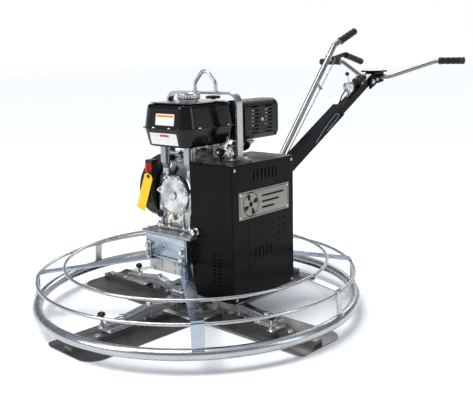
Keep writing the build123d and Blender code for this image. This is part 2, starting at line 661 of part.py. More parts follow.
with BuildPart() as drive_belt:
    for extra, mode in ((BELT_T, Mode.ADD), (0.6, Mode.SUBTRACT)):
        with BuildSketch(side(BELT_X - BELT_W / 2 + 2)):
            with Locations((0, CRANK_Z)):
                Circle(CRANK_PULLEY_R - 4 + extra)
            with Locations((WORM_Y, WORM_Z)):
                Circle(DRIVEN_PULLEY_R - 4 + extra)
            make_hull()
        extrude(amount=BELT_W - 4, mode=mode)
drive_belt.part.label = "drive_belt"
export_step(drive_belt.part, "parts/drive_belt.step")

# ---- engine: fan housing, recoil starter, tank, air cleaner, exhaust ---------------------
with BuildPart() as fan_housing:
    disc(side(HOUSING_X, 0, CRANK_Z), HOUSING_R, ENGINE_X[0] - HOUSING_X)
    with BuildSketch(front(-80, *SWITCH_XZ)):
        RectangleRounded(46, 52, 6)
    extrude(amount=-SWITCH_Y - 80)
    hole(side(HOUSING_X + 3, 0, CRANK_Z), HOUSING_R - 3, ENGINE_X[0] - HOUSING_X - 6)
    hole(side(HOUSING_X - 1, 0, CRANK_Z), RECOIL_R - 8, 5)
    hole(side(ENGINE_X[0] - 4, 0, CRANK_Z), 60, 5)
    with BuildSketch(side(ENGINE_X[0])):
        with Locations((-60, 480)):
            Rectangle(200, 200)
    extrude(amount=60, mode=Mode.SUBTRACT)
    disc(front(SWITCH_Y + 6, *TAG_XZ), 3.2, SWITCH_Y - TAG_Y + 9)
    disc(front(TAG_Y - 3, *TAG_XZ), 6, 2)
fan_housing.part.label = "fan_housing"
export_step(fan_housing.part, "parts/fan_housing.step")

with BuildPart() as recoil_cover:
    disc(side(RECOIL_X, 0, CRANK_Z), RECOIL_R, HOUSING_X - RECOIL_X)
    chamfer(recoil_cover.faces().sort_by(Axis.X)[0].edges(), 9)
    hole(side(RECOIL_X + 3, 0, CRANK_Z), RECOIL_R - 10, 40)
    with BuildSketch(side(RECOIL_X - 1, 0, CRANK_Z)):
        with PolarLocations(56, 12):
            SlotOverall(30, 7)
    extrude(amount=6, mode=Mode.SUBTRACT)
    with BuildSketch(starter_plane(78)):
        RectangleRounded(20, 32, 5)
    extrude(amount=22)
recoil_cover.part.label = "recoil_cover"
export_step(recoil_cover.part, "parts/recoil_cover.step")

with BuildPart() as starter_handle:
    with BuildSketch(starter_plane(100.5)):
        RectangleRounded(18, 28, 8)
    extrude(amount=15)
    with BuildSketch(starter_plane(115.5)):
        RectangleRounded(22, 92, 10)
    extrude(amount=20)
    fillet(starter_handle.faces().sort_by(Axis.Y)[-1].edges(), 4)
starter_handle.part.label = "starter_handle"
export_step(starter_handle.part, "parts/starter_handle.step")

with BuildPart() as engine_switch:
    disc(front(SWITCH_Y - 0.4, *SWITCH_XZ), 14, 10)
    with BuildSketch(front(SWITCH_Y - 10.4, *SWITCH_XZ)):
        RectangleRounded(9, 27, 3)
    extrude(amount=8)
engine_switch.part.label = "engine_switch"
export_step(engine_switch.part, "parts/engine_switch.step")

with BuildPart() as hang_tag:
    tag_lean = radians(TAG_TILT)
    tag_plane = Plane(origin=(TAG_XZ[0], ROTOR_Y + TAG_Y, TAG_XZ[1]),
                      x_dir=(cos(tag_lean), 0, -sin(tag_lean)), z_dir=(0, -1, 0))
    with BuildSketch(tag_plane) as tag_outline:
        with Locations((0, -62)):
            Rectangle(42, 142)
        chamfer(tag_outline.vertices().sort_by(Axis.Y)[-2:], 10)
        Circle(4, mode=Mode.SUBTRACT)
    extrude(amount=1.2)
hang_tag.part.label = "hang_tag"
export_step(hang_tag.part, "parts/hang_tag.step")


def tank_shell(inset):
    """Add or remove the tank's volume: two tapered halves that meet at the seam."""
    mode = Mode.SUBTRACT if inset else Mode.ADD
    width = TANK_X[1] - TANK_X[0] - 2 * inset
    depth = TANK_Y[1] - TANK_Y[0] - 2 * inset
    for height, taper in ((TANK_TOP_Z - TANK_SEAM_Z, 9), (TANK_LOW_Z - TANK_SEAM_Z, 13)):
        reach = abs(height) - inset
        with BuildSketch(level(TANK_SEAM_Z, *TANK_MID)) as outline:
            RectangleRounded(width, depth, 46 - inset)
        extrude(outline.sketch, amount=reach if height > 0 else -reach, taper=taper, mode=mode)


with BuildPart() as fuel_tank:
    tank_shell(0)
    fillet(fuel_tank.faces().sort_by(Axis.Z)[-1].edges(), 20)
    fillet(fuel_tank.faces().sort_by(Axis.Z)[0].edges(), 8)
    with BuildSketch(level(TANK_SEAM_Z - 1.5, *TANK_MID)):
        RectangleRounded(TANK_X[1] - TANK_X[0] + 12, TANK_Y[1] - TANK_Y[0] + 12, 50)
    extrude(amount=3)
    disc(level(TANK_TOP_Z - 4, *CAP_XY), 28, 10)
    tank_shell(3)
    hole(level(TANK_TOP_Z - 10, *CAP_XY), 24, 20)
fuel_tank.part.label = "fuel_tank"
export_step(fuel_tank.part, "parts/fuel_tank.step")

with BuildPart() as fuel_cap:
    with BuildSketch(level(TANK_TOP_Z + 6.4, *CAP_XY)):
        Circle(40)
        with PolarLocations(40, 18):
            Circle(2.6, mode=Mode.SUBTRACT)
    extrude(amount=20)
    chamfer(fuel_cap.faces().sort_by(Axis.Z)[-1].edges().filter_by(GeomType.CIRCLE), 1.5)
    disc(level(TANK_TOP_Z - 2, *CAP_XY), 23.6, 9)
fuel_cap.part.label = "fuel_cap"
export_step(fuel_cap.part, "parts/fuel_cap.step")

with BuildPart() as tank_brackets:
    for bracket_x in (-49, 62):
        with BuildSketch(side(bracket_x)):
            with BuildLine():
                Polyline((-52, 526), (-80, 498), (-110, 545), (-110, TANK_LOW_Z), (-60, TANK_LOW_Z),
                         (-60, TANK_LOW_Z - 6), (-103, TANK_LOW_Z - 6), (-103, 547), (-79, 508),
                         (-57, 530), close=True)
            make_face()
            with BuildLine():
                Polyline((0, 538), (42, 538), (42, TANK_LOW_Z), (0, TANK_LOW_Z), (0, TANK_LOW_Z - 6),
                         (36, TANK_LOW_Z - 6), (36, 544), (0, 544), close=True)
            make_face()
        extrude(amount=24)
tank_brackets.part.label = "tank_brackets"
export_step(tank_brackets.part, "parts/tank_brackets.step")

with BuildPart() as air_cleaner:
    with BuildSketch(level(596, *AIR_XY)):
        RectangleRounded(118, 126, 22)
    extrude(amount=14)
    with BuildSketch(level(610, *AIR_XY)):
        RectangleRounded(110, 118, 24)
    extrude(amount=122, taper=3)
    fillet(air_cleaner.faces().sort_by(Axis.Z)[-1].edges(), 14)
    with BuildSketch(level(599, *AIR_XY)):
        RectangleRounded(92, 98, 18)
    extrude(amount=122, mode=Mode.SUBTRACT)
    disc(level(721, *AIR_XY), 9, 28)
    disc(level(746, *AIR_XY), 27, 9)
air_cleaner.part.label = "air_cleaner"
export_step(air_cleaner.part, "parts/air_cleaner.step")

with BuildPart() as carburettor:
    with BuildSketch(level(540, *CARB_XY)):
        RectangleRounded(40, 44, 8)
    extrude(amount=56)
    disc(level(524, *CARB_XY), 19, 16)
    disc(side(CARB_XY[0] + 20, CARB_XY[1], 566), 15, 22)
carburettor.part.label = "carburettor"
export_step(carburettor.part, "parts/carburettor.step")

with BuildPart() as muffler:
    with BuildSketch(front(MUFFLER_Y[0], *MUFFLER_XZ)):
        RectangleRounded(76, 112, 26)
    extrude(amount=-(MUFFLER_Y[1] - MUFFLER_Y[0]))
    with BuildSketch(front(MUFFLER_Y[0] + 3, *MUFFLER_XZ)):
        RectangleRounded(70, 106, 23)
    extrude(amount=-(MUFFLER_Y[1] - MUFFLER_Y[0] - 6), mode=Mode.SUBTRACT)
    with BuildLine(front(162)) as elbow_path:
        FilletPolyline((62, 578), (MUFFLER_XZ[0], 578), (MUFFLER_XZ[0], MUFFLER_XZ[1] - 54), radius=24)
    tube(elbow_path.line, 17)
    disc(side(58, 162, 578), 26, 7)
muffler.part.label = "muffler"
export_step(muffler.part, "parts/muffler.step")

with BuildPart() as muffler_guard:
    with BuildSketch(front(MUFFLER_Y[0] - 8, *MUFFLER_XZ)):
        RectangleRounded(98, 138, 30)
    extrude(amount=-(MUFFLER_Y[1] - MUFFLER_Y[0] + 16))
    with BuildSketch(front(MUFFLER_Y[0] - 5, *MUFFLER_XZ)):
        RectangleRounded(92, 132, 27)
    extrude(amount=-(MUFFLER_Y[1] - MUFFLER_Y[0] + 10), mode=Mode.SUBTRACT)
    with BuildSketch(side(MUFFLER_XZ[0] + 40)):
        with Locations(((MUFFLER_Y[0] + MUFFLER_Y[1]) / 2, MUFFLER_XZ[1])):
            with GridLocations(74, 13, 2, 8):
                SlotOverall(40, 5)
    extrude(amount=20, mode=Mode.SUBTRACT)
    with BuildSketch(level(MUFFLER_XZ[1] - 75, MUFFLER_XZ[0], 162)):
        Circle(21)
    extrude(amount=20, mode=Mode.SUBTRACT)
    for post_y in (MUFFLER_Y[0] + 30, MUFFLER_Y[1] - 30):
        disc(level(MUFFLER_XZ[1] + 56, MUFFLER_XZ[0], post_y), 6, 10)
muffler_guard.part.label = "muffler_guard"
export_step(muffler_guard.part, "parts/muffler_guard.step")

# ---- belt cover and its back plate --------------------------------------------------------
cover_mid_y = (COVER_Y[0] + COVER_Y[1]) / 2
cover_mid_z = (COVER_Z[0] + COVER_Z[1]) / 2
COVER_SIZE = (COVER_Y[1] - COVER_Y[0], COVER_Z[1] - COVER_Z[0])
with BuildPart() as belt_cover:
    with BuildSketch(side(COVER_X[0], cover_mid_y, cover_mid_z)):
        RectangleRounded(*COVER_SIZE, 5)
    extrude(amount=COVER_X[1] - COVER_X[0])
    fillet(belt_cover.faces().sort_by(Axis.X)[-1].edges(), 4)
    with BuildSketch(side(COVER_X[0] - 1, cover_mid_y, cover_mid_z)):
        RectangleRounded(COVER_SIZE[0] - 6, COVER_SIZE[1] - 6, 2)
    extrude(amount=COVER_X[1] - COVER_X[0] - 2, mode=Mode.SUBTRACT)
    with BuildSketch(front(COVER_Y[0] - 1)):
        with Locations((198, 202)):
            with GridLocations(24, 13, 2, 9):
                SlotOverall(15, 4)
    extrude(amount=-6, mode=Mode.SUBTRACT)
    with BuildSketch(side(COVER_X[1] - 5)):
        with Locations((150, 320)):
            with GridLocations(26, 26, 2, 5):
                Circle(3.5)
    extrude(amount=8, mode=Mode.SUBTRACT)
    with BuildSketch(front(COVER_Y[1] - 6)):
        with Locations(SPOKE_SLOT):
            RectangleRounded(90, 44, 8)
    extrude(amount=-10, mode=Mode.SUBTRACT)
belt_cover.part.label = "belt_cover"
export_step(belt_cover.part, "parts/belt_cover.step")

with BuildPart() as cover_back_plate:
    with BuildSketch(side(COVER_X[0] - 4, cover_mid_y, cover_mid_z)):
        RectangleRounded(*COVER_SIZE, 5)
    extrude(amount=4)
    with BuildSketch(side(COVER_X[0] - 5)):
        with Locations((0, CRANK_Z)):
            Circle(62)
        with Locations((WORM_Y, WORM_Z)):
            Circle(32)
        with Locations((151, 205)):
            RectangleRounded(76, 40, 8)
    extrude(amount=6, mode=Mode.SUBTRACT)
cover_back_plate.part.label = "cover_back_plate"
export_step(cover_back_plate.part, "parts/cover_back_plate.step")

# ---- lifting bale with its welded eye -----------------------------------------------------------
with BuildPart() as lift_bale:
    with BuildLine(front(BALE_Y)) as bale_path:
        FilletPolyline((238, BALE_FOOT_TOP - BALE_T / 2), (BALE_X[1], BALE_FOOT_TOP - BALE_T / 2),
                       (BALE_X[1], BALE_TOP), (BALE_X[0], BALE_TOP),
                       (BALE_X[0], BALE_FOOT_TOP - BALE_T / 2), (-82, BALE_FOOT_TOP - BALE_T / 2),
                       radius=(8, 34, 34, 8))
    strap(bale_path.line, front(BALE_Y), 28, BALE_T)
    with BuildLine(front(BALE_Y)) as eye_path:
        FilletPolyline((0, BALE_TOP), (0, BALE_TOP + 34), (48, BALE_TOP + 86), (96, BALE_TOP + 34),
                       (96, BALE_TOP), radius=(24, 28, 24))
    tube(eye_path.line, 6.5)
lift_bale.part.label = "lift_bale"
export_step(lift_bale.part, "parts/lift_bale.step")

# ---- mast: sleeve with the lever's pivot and sector, and the upper tube -----------------------------
with BuildPart() as mast_sleeve:
    with BuildSketch(mast(-MAST_HALF_W)):
        with BuildLine():
            Polyline((MAST_FOOT, 0), (MAST_END, 0), (MAST_END, MAST_DEPTH),
                     (MAST_FOOT + MAST_DEPTH * tan(radians(MAST_TILT)), MAST_DEPTH), close=True)
        make_face()
    extrude(amount=2 * MAST_HALF_W)
    with BuildSketch(mast(-MAST_HALF_W + 3)):
        with BuildLine():
            Polyline((MAST_FOOT + 12, 3), (MAST_END + 1, 3), (MAST_END + 1, MAST_DEPTH - 3),
                     (MAST_FOOT + 42, MAST_DEPTH - 3), close=True)
        make_face()
    extrude(amount=2 * MAST_HALF_W - 6, mode=Mode.SUBTRACT)
    with BuildSketch(mast(-MAST_HALF_W - 5)):
        with BuildLine():
            Polyline((-214, 46), (-96, 46), (-96, 8), (-128, -48), (-176, -48), (-214, 8), close=True)
        make_face()
    extrude(amount=6)
    disc(side(LEVER_X + 20, LEVER_Y, LEVER_Z), 22, -MAST_HALF_W - LEVER_X - 20)
    with BuildSketch(side(LEVER_X + 14, LEVER_Y, LEVER_Z)) as sector:
        Circle(SECTOR_R)
        with BuildLine():
            Polyline((0, 0), (140, 20), (140, -120), (-140, -120), (-140, 160), (-10, 120), close=True)
        make_face(mode=Mode.SUBTRACT)
        Circle(24)
    extrude(amount=6)
    disc(side(LEVER_X - 16, LEVER_Y, LEVER_Z), LEVER_PIN_R - RUN, -MAST_HALF_W - LEVER_X + 16)
    disc(side(LEVER_X - 22, LEVER_Y, LEVER_Z), 16, 6)
mast_sleeve.part.label = "mast_sleeve"
export_step(mast_sleeve.part, "parts/mast_sleeve.step")

with BuildPart() as mast_tube:
    with BuildSketch(mast(-TUBE_HALF_W)):
        with Locations(((TUBE_S[0] + TUBE_S[1]) / 2, 3 + TUBE_DEPTH / 2)):
            Rectangle(TUBE_S[1] - TUBE_S[0], TUBE_DEPTH)
    extrude(amount=2 * TUBE_HALF_W)
    with BuildSketch(mast(-TUBE_HALF_W + 3)):
        with Locations(((TUBE_S[0] + TUBE_S[1]) / 2, 3 + TUBE_DEPTH / 2)):
            Rectangle(TUBE_S[1] - TUBE_S[0] + 4, TUBE_DEPTH - 6)
    extrude(amount=2 * TUBE_HALF_W - 6, mode=Mode.SUBTRACT)
mast_tube.part.label = "mast_tube"
export_step(mast_tube.part, "parts/mast_tube.step")

# ---- handlebar, its bracket and grips -------------------------------------------------------------------
with BuildPart() as handlebar_bracket:
    for plate_x in (-TUBE_HALF_W - 8, TUBE_HALF_W):
        with BuildSketch(side(plate_x)) as plate:
            with BuildLine():
                Polyline((1150, 726), (1206, 752), (1262, 758), (1262, 804), (1192, 804), (1150, 776),
                         close=True)
            make_face()
            fillet(plate.vertices(), 4)
            with Locations((BAR_Y, BAR_Z)):
                Circle(BAR_R, mode=Mode.SUBTRACT)
        extrude(amount=8)
    with BuildSketch(level(804, 0, 1222)):
        RectangleRounded(96, 84, 6)
    extrude(amount=6)
    with BuildSketch(front(1262, 0, 781)):
        RectangleRounded(2 * TUBE_HALF_W + 16, 46, 4)
    extrude(amount=-6)
handlebar_bracket.part.label = "handlebar_bracket"
export_step(handlebar_bracket.part, "parts/handlebar_bracket.step")

with BuildPart() as handlebar:
    with BuildLine() as bar_path:
        FilletPolyline((-HANDLE_HALF + 6, ROTOR_Y + HANDLE_Y, HANDLE_Z),
                       (-250, ROTOR_Y + HANDLE_Y, HANDLE_Z), (-70, ROTOR_Y + BAR_Y, BAR_Z),
                       (70, ROTOR_Y + BAR_Y, BAR_Z), (250, ROTOR_Y + HANDLE_Y, HANDLE_Z),
                       (HANDLE_HALF - 6, ROTOR_Y + HANDLE_Y, HANDLE_Z), radius=55)
    tube(bar_path.line, BAR_R)
handlebar.part.label = "handlebar"
export_step(handlebar.part, "parts/handlebar.step")

with BuildPart() as handlebar_grips:
    for hand in (-1, 1):
        grip_plane = side(hand * (HANDLE_HALF - 116), HANDLE_Y, HANDLE_Z)
        with BuildSketch(grip_plane):
            Circle(GRIP_R)
            Circle(BAR_R, mode=Mode.SUBTRACT)
        extrude(amount=hand * 110)
        with BuildSketch(side(hand * (HANDLE_HALF - 6), HANDLE_Y, HANDLE_Z)):
            Circle(GRIP_R)
        extrude(amount=hand * 6)
handlebar_grips.part.label = "handlebar_grips"
export_step(handlebar_grips.part, "parts/handlebar_grips.step")

# ---- throttle: housing with the stop switch, lever and cable ------------------------------------------------
with BuildPart() as stop_switch_box:
    with BuildSketch(mast(-24)):
        with Locations((598, TUBE_TOP + 18)):
            RectangleRounded(66, 36, 6)
    extrude(amount=48)
    with BuildSketch(mast(-8)):
        with Locations((506, TUBE_TOP + 26)):
            RectangleRounded(48, 52, 8)
    extrude(amount=14)
    with BuildSketch(mast(-TUBE_HALF_W)):
        with Locations((506, TUBE_TOP + 3)):
            Rectangle(60, 6)
    extrude(amount=2 * TUBE_HALF_W)
stop_switch_box.part.label = "stop_switch_box"
export_step(stop_switch_box.part, "parts/stop_switch_box.step")

with BuildPart() as throttle_lever:
    disc(side(6.4, *mast_point(506, THROTTLE_T)), 23, 8)
    with BuildSketch(mast(8.4)):
        with BuildLine():
            Polyline((498, THROTTLE_T), (514, THROTTLE_T), (511, THROTTLE_T + 62), (503, THROTTLE_T + 62),
                     close=True)
        make_face()
    extrude(amount=4)
    with Locations(side(10.4, *mast_point(507, THROTTLE_T + 66))):
        Sphere(9)
throttle_lever.part.label = "throttle_lever"
export_step(throttle_lever.part, "parts/throttle_lever.step")

with BuildPart() as throttle_cable:
    with BuildLine(mast(-1)) as cable_path:
        FilletPolyline((482, TUBE_TOP + 34), (448, TUBE_TOP + 34), (408, TUBE_TOP + 9),
                       (374, TUBE_TOP + 7), radius=(40, 40))
    tube(cable_path.line, 3)
throttle_cable.part.label = "throttle_cable"
export_step(throttle_cable.part, "parts/throttle_cable.step")

# ---- pitch lever with its grip, squeeze lever, latch rod and link ------------------------------------------
with BuildPart() as pitch_lever:
    with BuildLine(side(LEVER_X)) as lever_path:
        FilletPolyline(along_lever(0, 0), along_lever(770.5, 0), LEVER_END, radius=45)
    tube(lever_path.line, LEVER_TUBE_R)
    disc(side(LEVER_X - 12, LEVER_Y, LEVER_Z), 17, 24)
    with BuildSketch(side(LEVER_X - 6)):
        with BuildLine():
            Polyline((LEVER_Y - 9, LEVER_Z - 8), (LINK_TOP[0] - 7, LINK_TOP[1] - 6),
                     (LINK_TOP[0] + 7, LINK_TOP[1] + 6), (LEVER_Y + 9, LEVER_Z + 8), close=True)
        make_face()
    extrude(amount=8)
    disc(side(LEVER_X - 6, *LINK_TOP), 10, 8)
    disc(side(LINK_X - 5, *LINK_TOP), LINK_PIN_R, LEVER_X - 6 - LINK_X + 5)
    for guide_d, guide_n in ((150, rod_offset(150)), (560, rod_offset(560))):
        guide_y, guide_z = along_lever(guide_d, 0)
        guide_plane = Plane(origin=(LEVER_X, ROTOR_Y + guide_y, guide_z), x_dir=(1, 0, 0),
                            z_dir=(0, LEVER_DIR[0], LEVER_DIR[1]))
        with BuildSketch(guide_plane):
            with Locations((0, guide_n / 2 + 4)):
                Rectangle(12, guide_n + 8)
            with Locations((0, guide_n)):
                Circle(LATCH_ROD_R + 0.8, mode=Mode.SUBTRACT)
        extrude(amount=6)
    squeeze_y, squeeze_z = SQUEEZE_PIVOT
    disc(side(LEVER_X - 5, squeeze_y, squeeze_z), 11, 8)
    with BuildSketch(side(LEVER_X - 5)):
        with BuildLine():
            Polyline(along_lever(706, 6), along_lever(726, 6), along_lever(722, 24), along_lever(710, 24),
                     close=True)
        make_face()
    extrude(amount=8)
    disc(side(LEVER_X + 3, squeeze_y, squeeze_z), 5 - RUN, 12)
    hole(side(LEVER_X - 13, LEVER_Y, LEVER_Z), LEVER_PIN_R, 30)
pitch_lever.part.label = "pitch_lever"
export_step(pitch_lever.part, "parts/pitch_lever.step")

with BuildPart() as pitch_lever_grip:
    grip_start = Plane(origin=lever_path.line @ 1, z_dir=-(lever_path.line % 1))
    with BuildSketch(grip_start):
        Circle(GRIP_R)
        Circle(LEVER_TUBE_R, mode=Mode.SUBTRACT)
    extrude(amount=122)
    with BuildSketch(grip_start):
        Circle(GRIP_R)
    extrude(amount=-6)
pitch_lever_grip.part.label = "pitch_lever_grip"
export_step(pitch_lever_grip.part, "parts/pitch_lever_grip.step")

with BuildPart() as squeeze_lever:
    with BuildSketch(side(LEVER_X + 4)) as squeeze_plate:
        with BuildLine():
            Polyline((squeeze_y - 4, squeeze_z + 9), (squeeze_y + 90, squeeze_z + 26),
                     (squeeze_y + 90, squeeze_z + 8), (squeeze_y + 4, squeeze_z - 9), close=True)
        make_face()
        with Locations(SQUEEZE_PIVOT):
            Circle(9.8)
            Circle(5, mode=Mode.SUBTRACT)
    extrude(amount=7)
    with BuildLine(side(LEVER_X + 7.5)) as squeeze_path:
        Line((squeeze_y + 84, squeeze_z + 17), (squeeze_y + 226, squeeze_z - 17))
    tube(squeeze_path.line, 7)
    grip_root = Plane(origin=squeeze_path.line @ 0.12, z_dir=squeeze_path.line % 0)
    with BuildSketch(grip_root):
        Circle(14)
    extrude(amount=136)
    hole(side(LEVER_X + 3, *SQUEEZE_PIVOT), 5, 9)
squeeze_lever.part.label = "squeeze_lever"
export_step(squeeze_lever.part, "parts/squeeze_lever.step")

with BuildPart() as latch_rod:
    with BuildLine(side(LEVER_X)) as latch_path:
        Line(along_lever(ROD_D[0], ROD_N[0]), along_lever(ROD_D[1], ROD_N[1]))
    tube(latch_path.line, LATCH_ROD_R)
    disc(side(LEVER_X - 5, *along_lever(ROD_D[0], ROD_N[0])), 4, 27)
latch_rod.part.label = "latch_rod"
export_step(latch_rod.part, "parts/latch_rod.step")

with BuildPart() as pitch_link:
    with BuildLine(side(LINK_X)) as link_path:
        Line((YOKE_REAR_Y, YOKE_Z), LINK_TOP)
    tube(link_path.line, 5.5)
    for end_point, bore in (((YOKE_REAR_Y, YOKE_Z), LINK_PIN_R + 1.4), (LINK_TOP, LINK_PIN_R + RUN)):
        disc(side(LINK_X - 4, *end_point), 11, 8)
        hole(side(LINK_X - 8, *end_point), bore, 16)
pitch_link.part.label = "pitch_link"
export_step(pitch_link.part, "parts/pitch_link.step")
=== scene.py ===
from math import atan2, cos, hypot, pi, radians, sin

import bmesh
import bpy
from mathutils import Matrix, Vector


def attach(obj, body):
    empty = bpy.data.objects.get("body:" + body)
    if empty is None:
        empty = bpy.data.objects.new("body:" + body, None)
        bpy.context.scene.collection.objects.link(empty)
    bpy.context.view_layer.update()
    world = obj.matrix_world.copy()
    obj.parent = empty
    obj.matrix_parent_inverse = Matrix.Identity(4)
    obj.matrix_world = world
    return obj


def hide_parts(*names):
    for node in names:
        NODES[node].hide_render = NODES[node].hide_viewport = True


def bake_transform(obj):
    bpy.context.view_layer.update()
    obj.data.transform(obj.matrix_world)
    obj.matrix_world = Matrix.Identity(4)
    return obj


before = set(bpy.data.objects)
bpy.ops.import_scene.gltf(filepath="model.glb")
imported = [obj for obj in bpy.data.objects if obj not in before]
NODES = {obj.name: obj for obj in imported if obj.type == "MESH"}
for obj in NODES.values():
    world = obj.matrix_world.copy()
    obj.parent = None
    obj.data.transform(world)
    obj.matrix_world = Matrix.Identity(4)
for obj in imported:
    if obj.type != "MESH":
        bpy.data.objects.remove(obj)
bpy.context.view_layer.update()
ROTOR_Y = -389.0


# ---- places: millimetres from the rotor axis and the floor, as in the CAD source ----
def at(x, y, z):
    """A point in metres in the row frame."""
    return Vector((x / 1000, (y + ROTOR_Y) / 1000, z / 1000))


def basis(x_dir, y_dir, origin):
    """A matrix from plane coordinates in millimetres to the row frame."""
    x_dir, y_dir = Vector(x_dir).normalized(), Vector(y_dir).normalized()
    z_dir = x_dir.cross(y_dir)
    turn = Matrix((x_dir, y_dir, z_dir)).transposed().to_4x4()
    return Matrix.Translation(at(*origin)) @ turn @ Matrix.Scale(0.001, 4)


def side(x, y=0, z=0):
    """Faces +X: local x is +Y, local y is +Z."""
    return basis((0, 1, 0), (0, 0, 1), (x, y, z))


def front(y, x=0, z=0):
    """Faces -Y: local x is +X, local y is +Z."""
    return basis((1, 0, 0), (0, 0, 1), (x, y, z))


def level(z, x=0, y=0):
    """Faces up: local x is +X, local y is +Y."""
    return basis((1, 0, 0), (0, 1, 0), (x, y, z))


# from rotor millimetres to the row frame
ROTOR_MM = Matrix.Translation(at(0, 0, 0)) @ Matrix.Scale(0.001, 4)
HALF_TURN = Matrix.Rotation(pi, 4, "Y")
UPWARD = Matrix.Rotation(-pi / 2, 4, "X")
MAST_TILT = radians(27.8)
# y and z: a point on the mast's underside, the pitch lever's pivot and the way its lower tube runs
MAST_FOOT = (590, 444.5)
LEVER_PIVOT = (467, 350)
LEVER_RISE = (0.6606, 0.7507)
# x and z of the screws around the crank cover
CRANK_SCREWS = [(-6 + 66 * cos(a), 432 + 66 * sin(a)) for a in [radians(360 * k / 7 + 14) for k in range(7)]]
OIL_FILLER = basis((0.94, 0, -0.34), (0.34, 0, 0.94), (-66, -84, 362))
CAP_X, CAP_Y = 36, -50
RECOIL_Z = 440


def mast(x):
    """Faces +X: local x runs up along the mast from a point on its underside."""
    return basis((0, cos(MAST_TILT), sin(MAST_TILT)), (0, -sin(MAST_TILT), cos(MAST_TILT)), (x, *MAST_FOOT))


def mast_point(x, s, t):
    """A point in rotor millimetres: s up along the mast, t square to its underside."""
    c, k = cos(MAST_TILT), sin(MAST_TILT)
    return (x, MAST_FOOT[0] + s * c - t * k, MAST_FOOT[1] + s * k + t * c)


def on_mast(x, s, t, across=0):
    """The mast plane, moved to a point on it."""
    return mast(x) @ Matrix.Translation((s, t, across))


def lever_point(x, d):
    """A point in rotor millimetres: d along the pitch lever from its pivot."""
    return (x, LEVER_PIVOT[0] + d * LEVER_RISE[0], LEVER_PIVOT[1] + d * LEVER_RISE[1])


# ---- materials ----
def finish_of(name, color, metallic=0.0, rough=0.5, **more):
    """One procedural finish: two tones mixed by noise, uneven roughness and a fine bump."""
    m = bpy.data.materials.new(name)
    m.use_nodes = True
    nodes, links = m.node_tree.nodes, m.node_tree.links
    shader = nodes["Principled BSDF"]
    shader.inputs["Metallic"].default_value = metallic
    for socket, key in (("Coat Weight", "coat"), ("Coat Roughness", "coat_rough"),
                        ("Specular IOR Level", "specular")):
        if key in more:
            shader.inputs[socket].default_value = more[key]
    place = nodes.new("ShaderNodeTexCoord")
    scaled = nodes.new("ShaderNodeMapping")
    scaled.inputs["Scale"].default_value = more.get("stretch", (1, 1, 1))
    links.new(place.outputs["Object"], scaled.inputs["Vector"])

    def noise(scale, detail, roughness=0.6):
        n = nodes.new("ShaderNodeTexNoise")
        n.inputs["Scale"].default_value = scale
        n.inputs["Detail"].default_value = detail
        n.inputs["Roughness"].default_value = roughness
        links.new(scaled.outputs["Vector"], n.inputs["Vector"])
        return n

    def ramp(source, low, high, a, b):
        r = nodes.new("ShaderNodeValToRGB")
        r.color_ramp.elements[0].position = low
        r.color_ramp.elements[1].position = high
        r.color_ramp.elements[0].color = a
        r.color_ramp.elements[1].color = b
        links.new(source, r.inputs["Fac"])
        return r

    second = more.get("second", tuple(c * 0.8 for c in color))
    tone = noise(more.get("tone_scale", 14.0), 6.0, 0.65)
    colors = ramp(tone.outputs["Fac"], more.get("tone_low", 0.38), more.get("tone_high", 0.62),
                  (*second, 1), (*color, 1))
    base = colors.outputs["Color"]
    if "dirt" in more:
        dirt_noise = noise(more.get("dirt_scale", 40.0), 8.0, 0.7)
        dirt = ramp(dirt_noise.outputs["Fac"], more.get("dirt_low", 0.56), more.get("dirt_high", 0.7),
                    (0, 0, 0, 1), (more.get("dirt_amount", 0.6),) * 3 + (1,))
        mix = nodes.new("ShaderNodeMix")
        mix.data_type = "RGBA"
        links.new(dirt.outputs["Color"], mix.inputs["Factor"])
        links.new(base, mix.inputs["A"])
        mix.inputs["B"].default_value = (*more["dirt"], 1)
        base = mix.outputs["Result"]
    links.new(base, shader.inputs["Base Color"])
    spread = more.get("rough_spread", 0.12)
    shine = noise(more.get("rough_scale", 60.0), 5.0)
    tones = ramp(shine.outputs["Fac"], 0.3, 0.7, (rough - spread,) * 3 + (1,), (rough + spread,) * 3 + (1,))
    links.new(tones.outputs["Color"], shader.inputs["Roughness"])
    grain = noise(more.get("bump_scale", 500.0), 3.0)
    bump = nodes.new("ShaderNodeBump")
    bump.inputs["Strength"].default_value = more.get("bump", 0.25)
    bump.inputs["Distance"].default_value = more.get("bump_mm", 0.3) / 1000
    links.new(grain.outputs["Fac"], bump.inputs["Height"])
    links.new(bump.outputs["Normal"], shader.inputs["Normal"])
    return m


ZINC = finish_of("zinc_plate", (0.50, 0.51, 0.515), 1.0, 0.27, second=(0.43, 0.44, 0.45), tone_scale=9,
                 rough_spread=0.06, rough_scale=24, bump=0.08, bump_scale=240, dirt=(0.27, 0.27, 0.265),
                 dirt_scale=22, dirt_low=0.6, dirt_high=0.78, dirt_amount=0.3)
HANDLE = finish_of("handle_steel", (0.27, 0.265, 0.255), 1.0, 0.33, second=(0.22, 0.215, 0.205), tone_scale=9,
                   rough_spread=0.06, rough_scale=24, bump=0.08, bump_scale=240)
BLUE_ZINC = finish_of("zinc_plate_blue", (0.46, 0.52, 0.59), 1.0, 0.24, second=(0.35, 0.41, 0.48),
                      tone_scale=7, rough_spread=0.06, bump=0.08, bump_scale=220, dirt=(0.24, 0.27, 0.32),
                      dirt_scale=18, dirt_low=0.6, dirt_high=0.8, dirt_amount=0.35)
BOLT = finish_of("bolt_zinc", (0.72, 0.72, 0.70), 1.0, 0.26, second=(0.6, 0.59, 0.56), tone_scale=90,
                 bump=0.1, bump_scale=700)
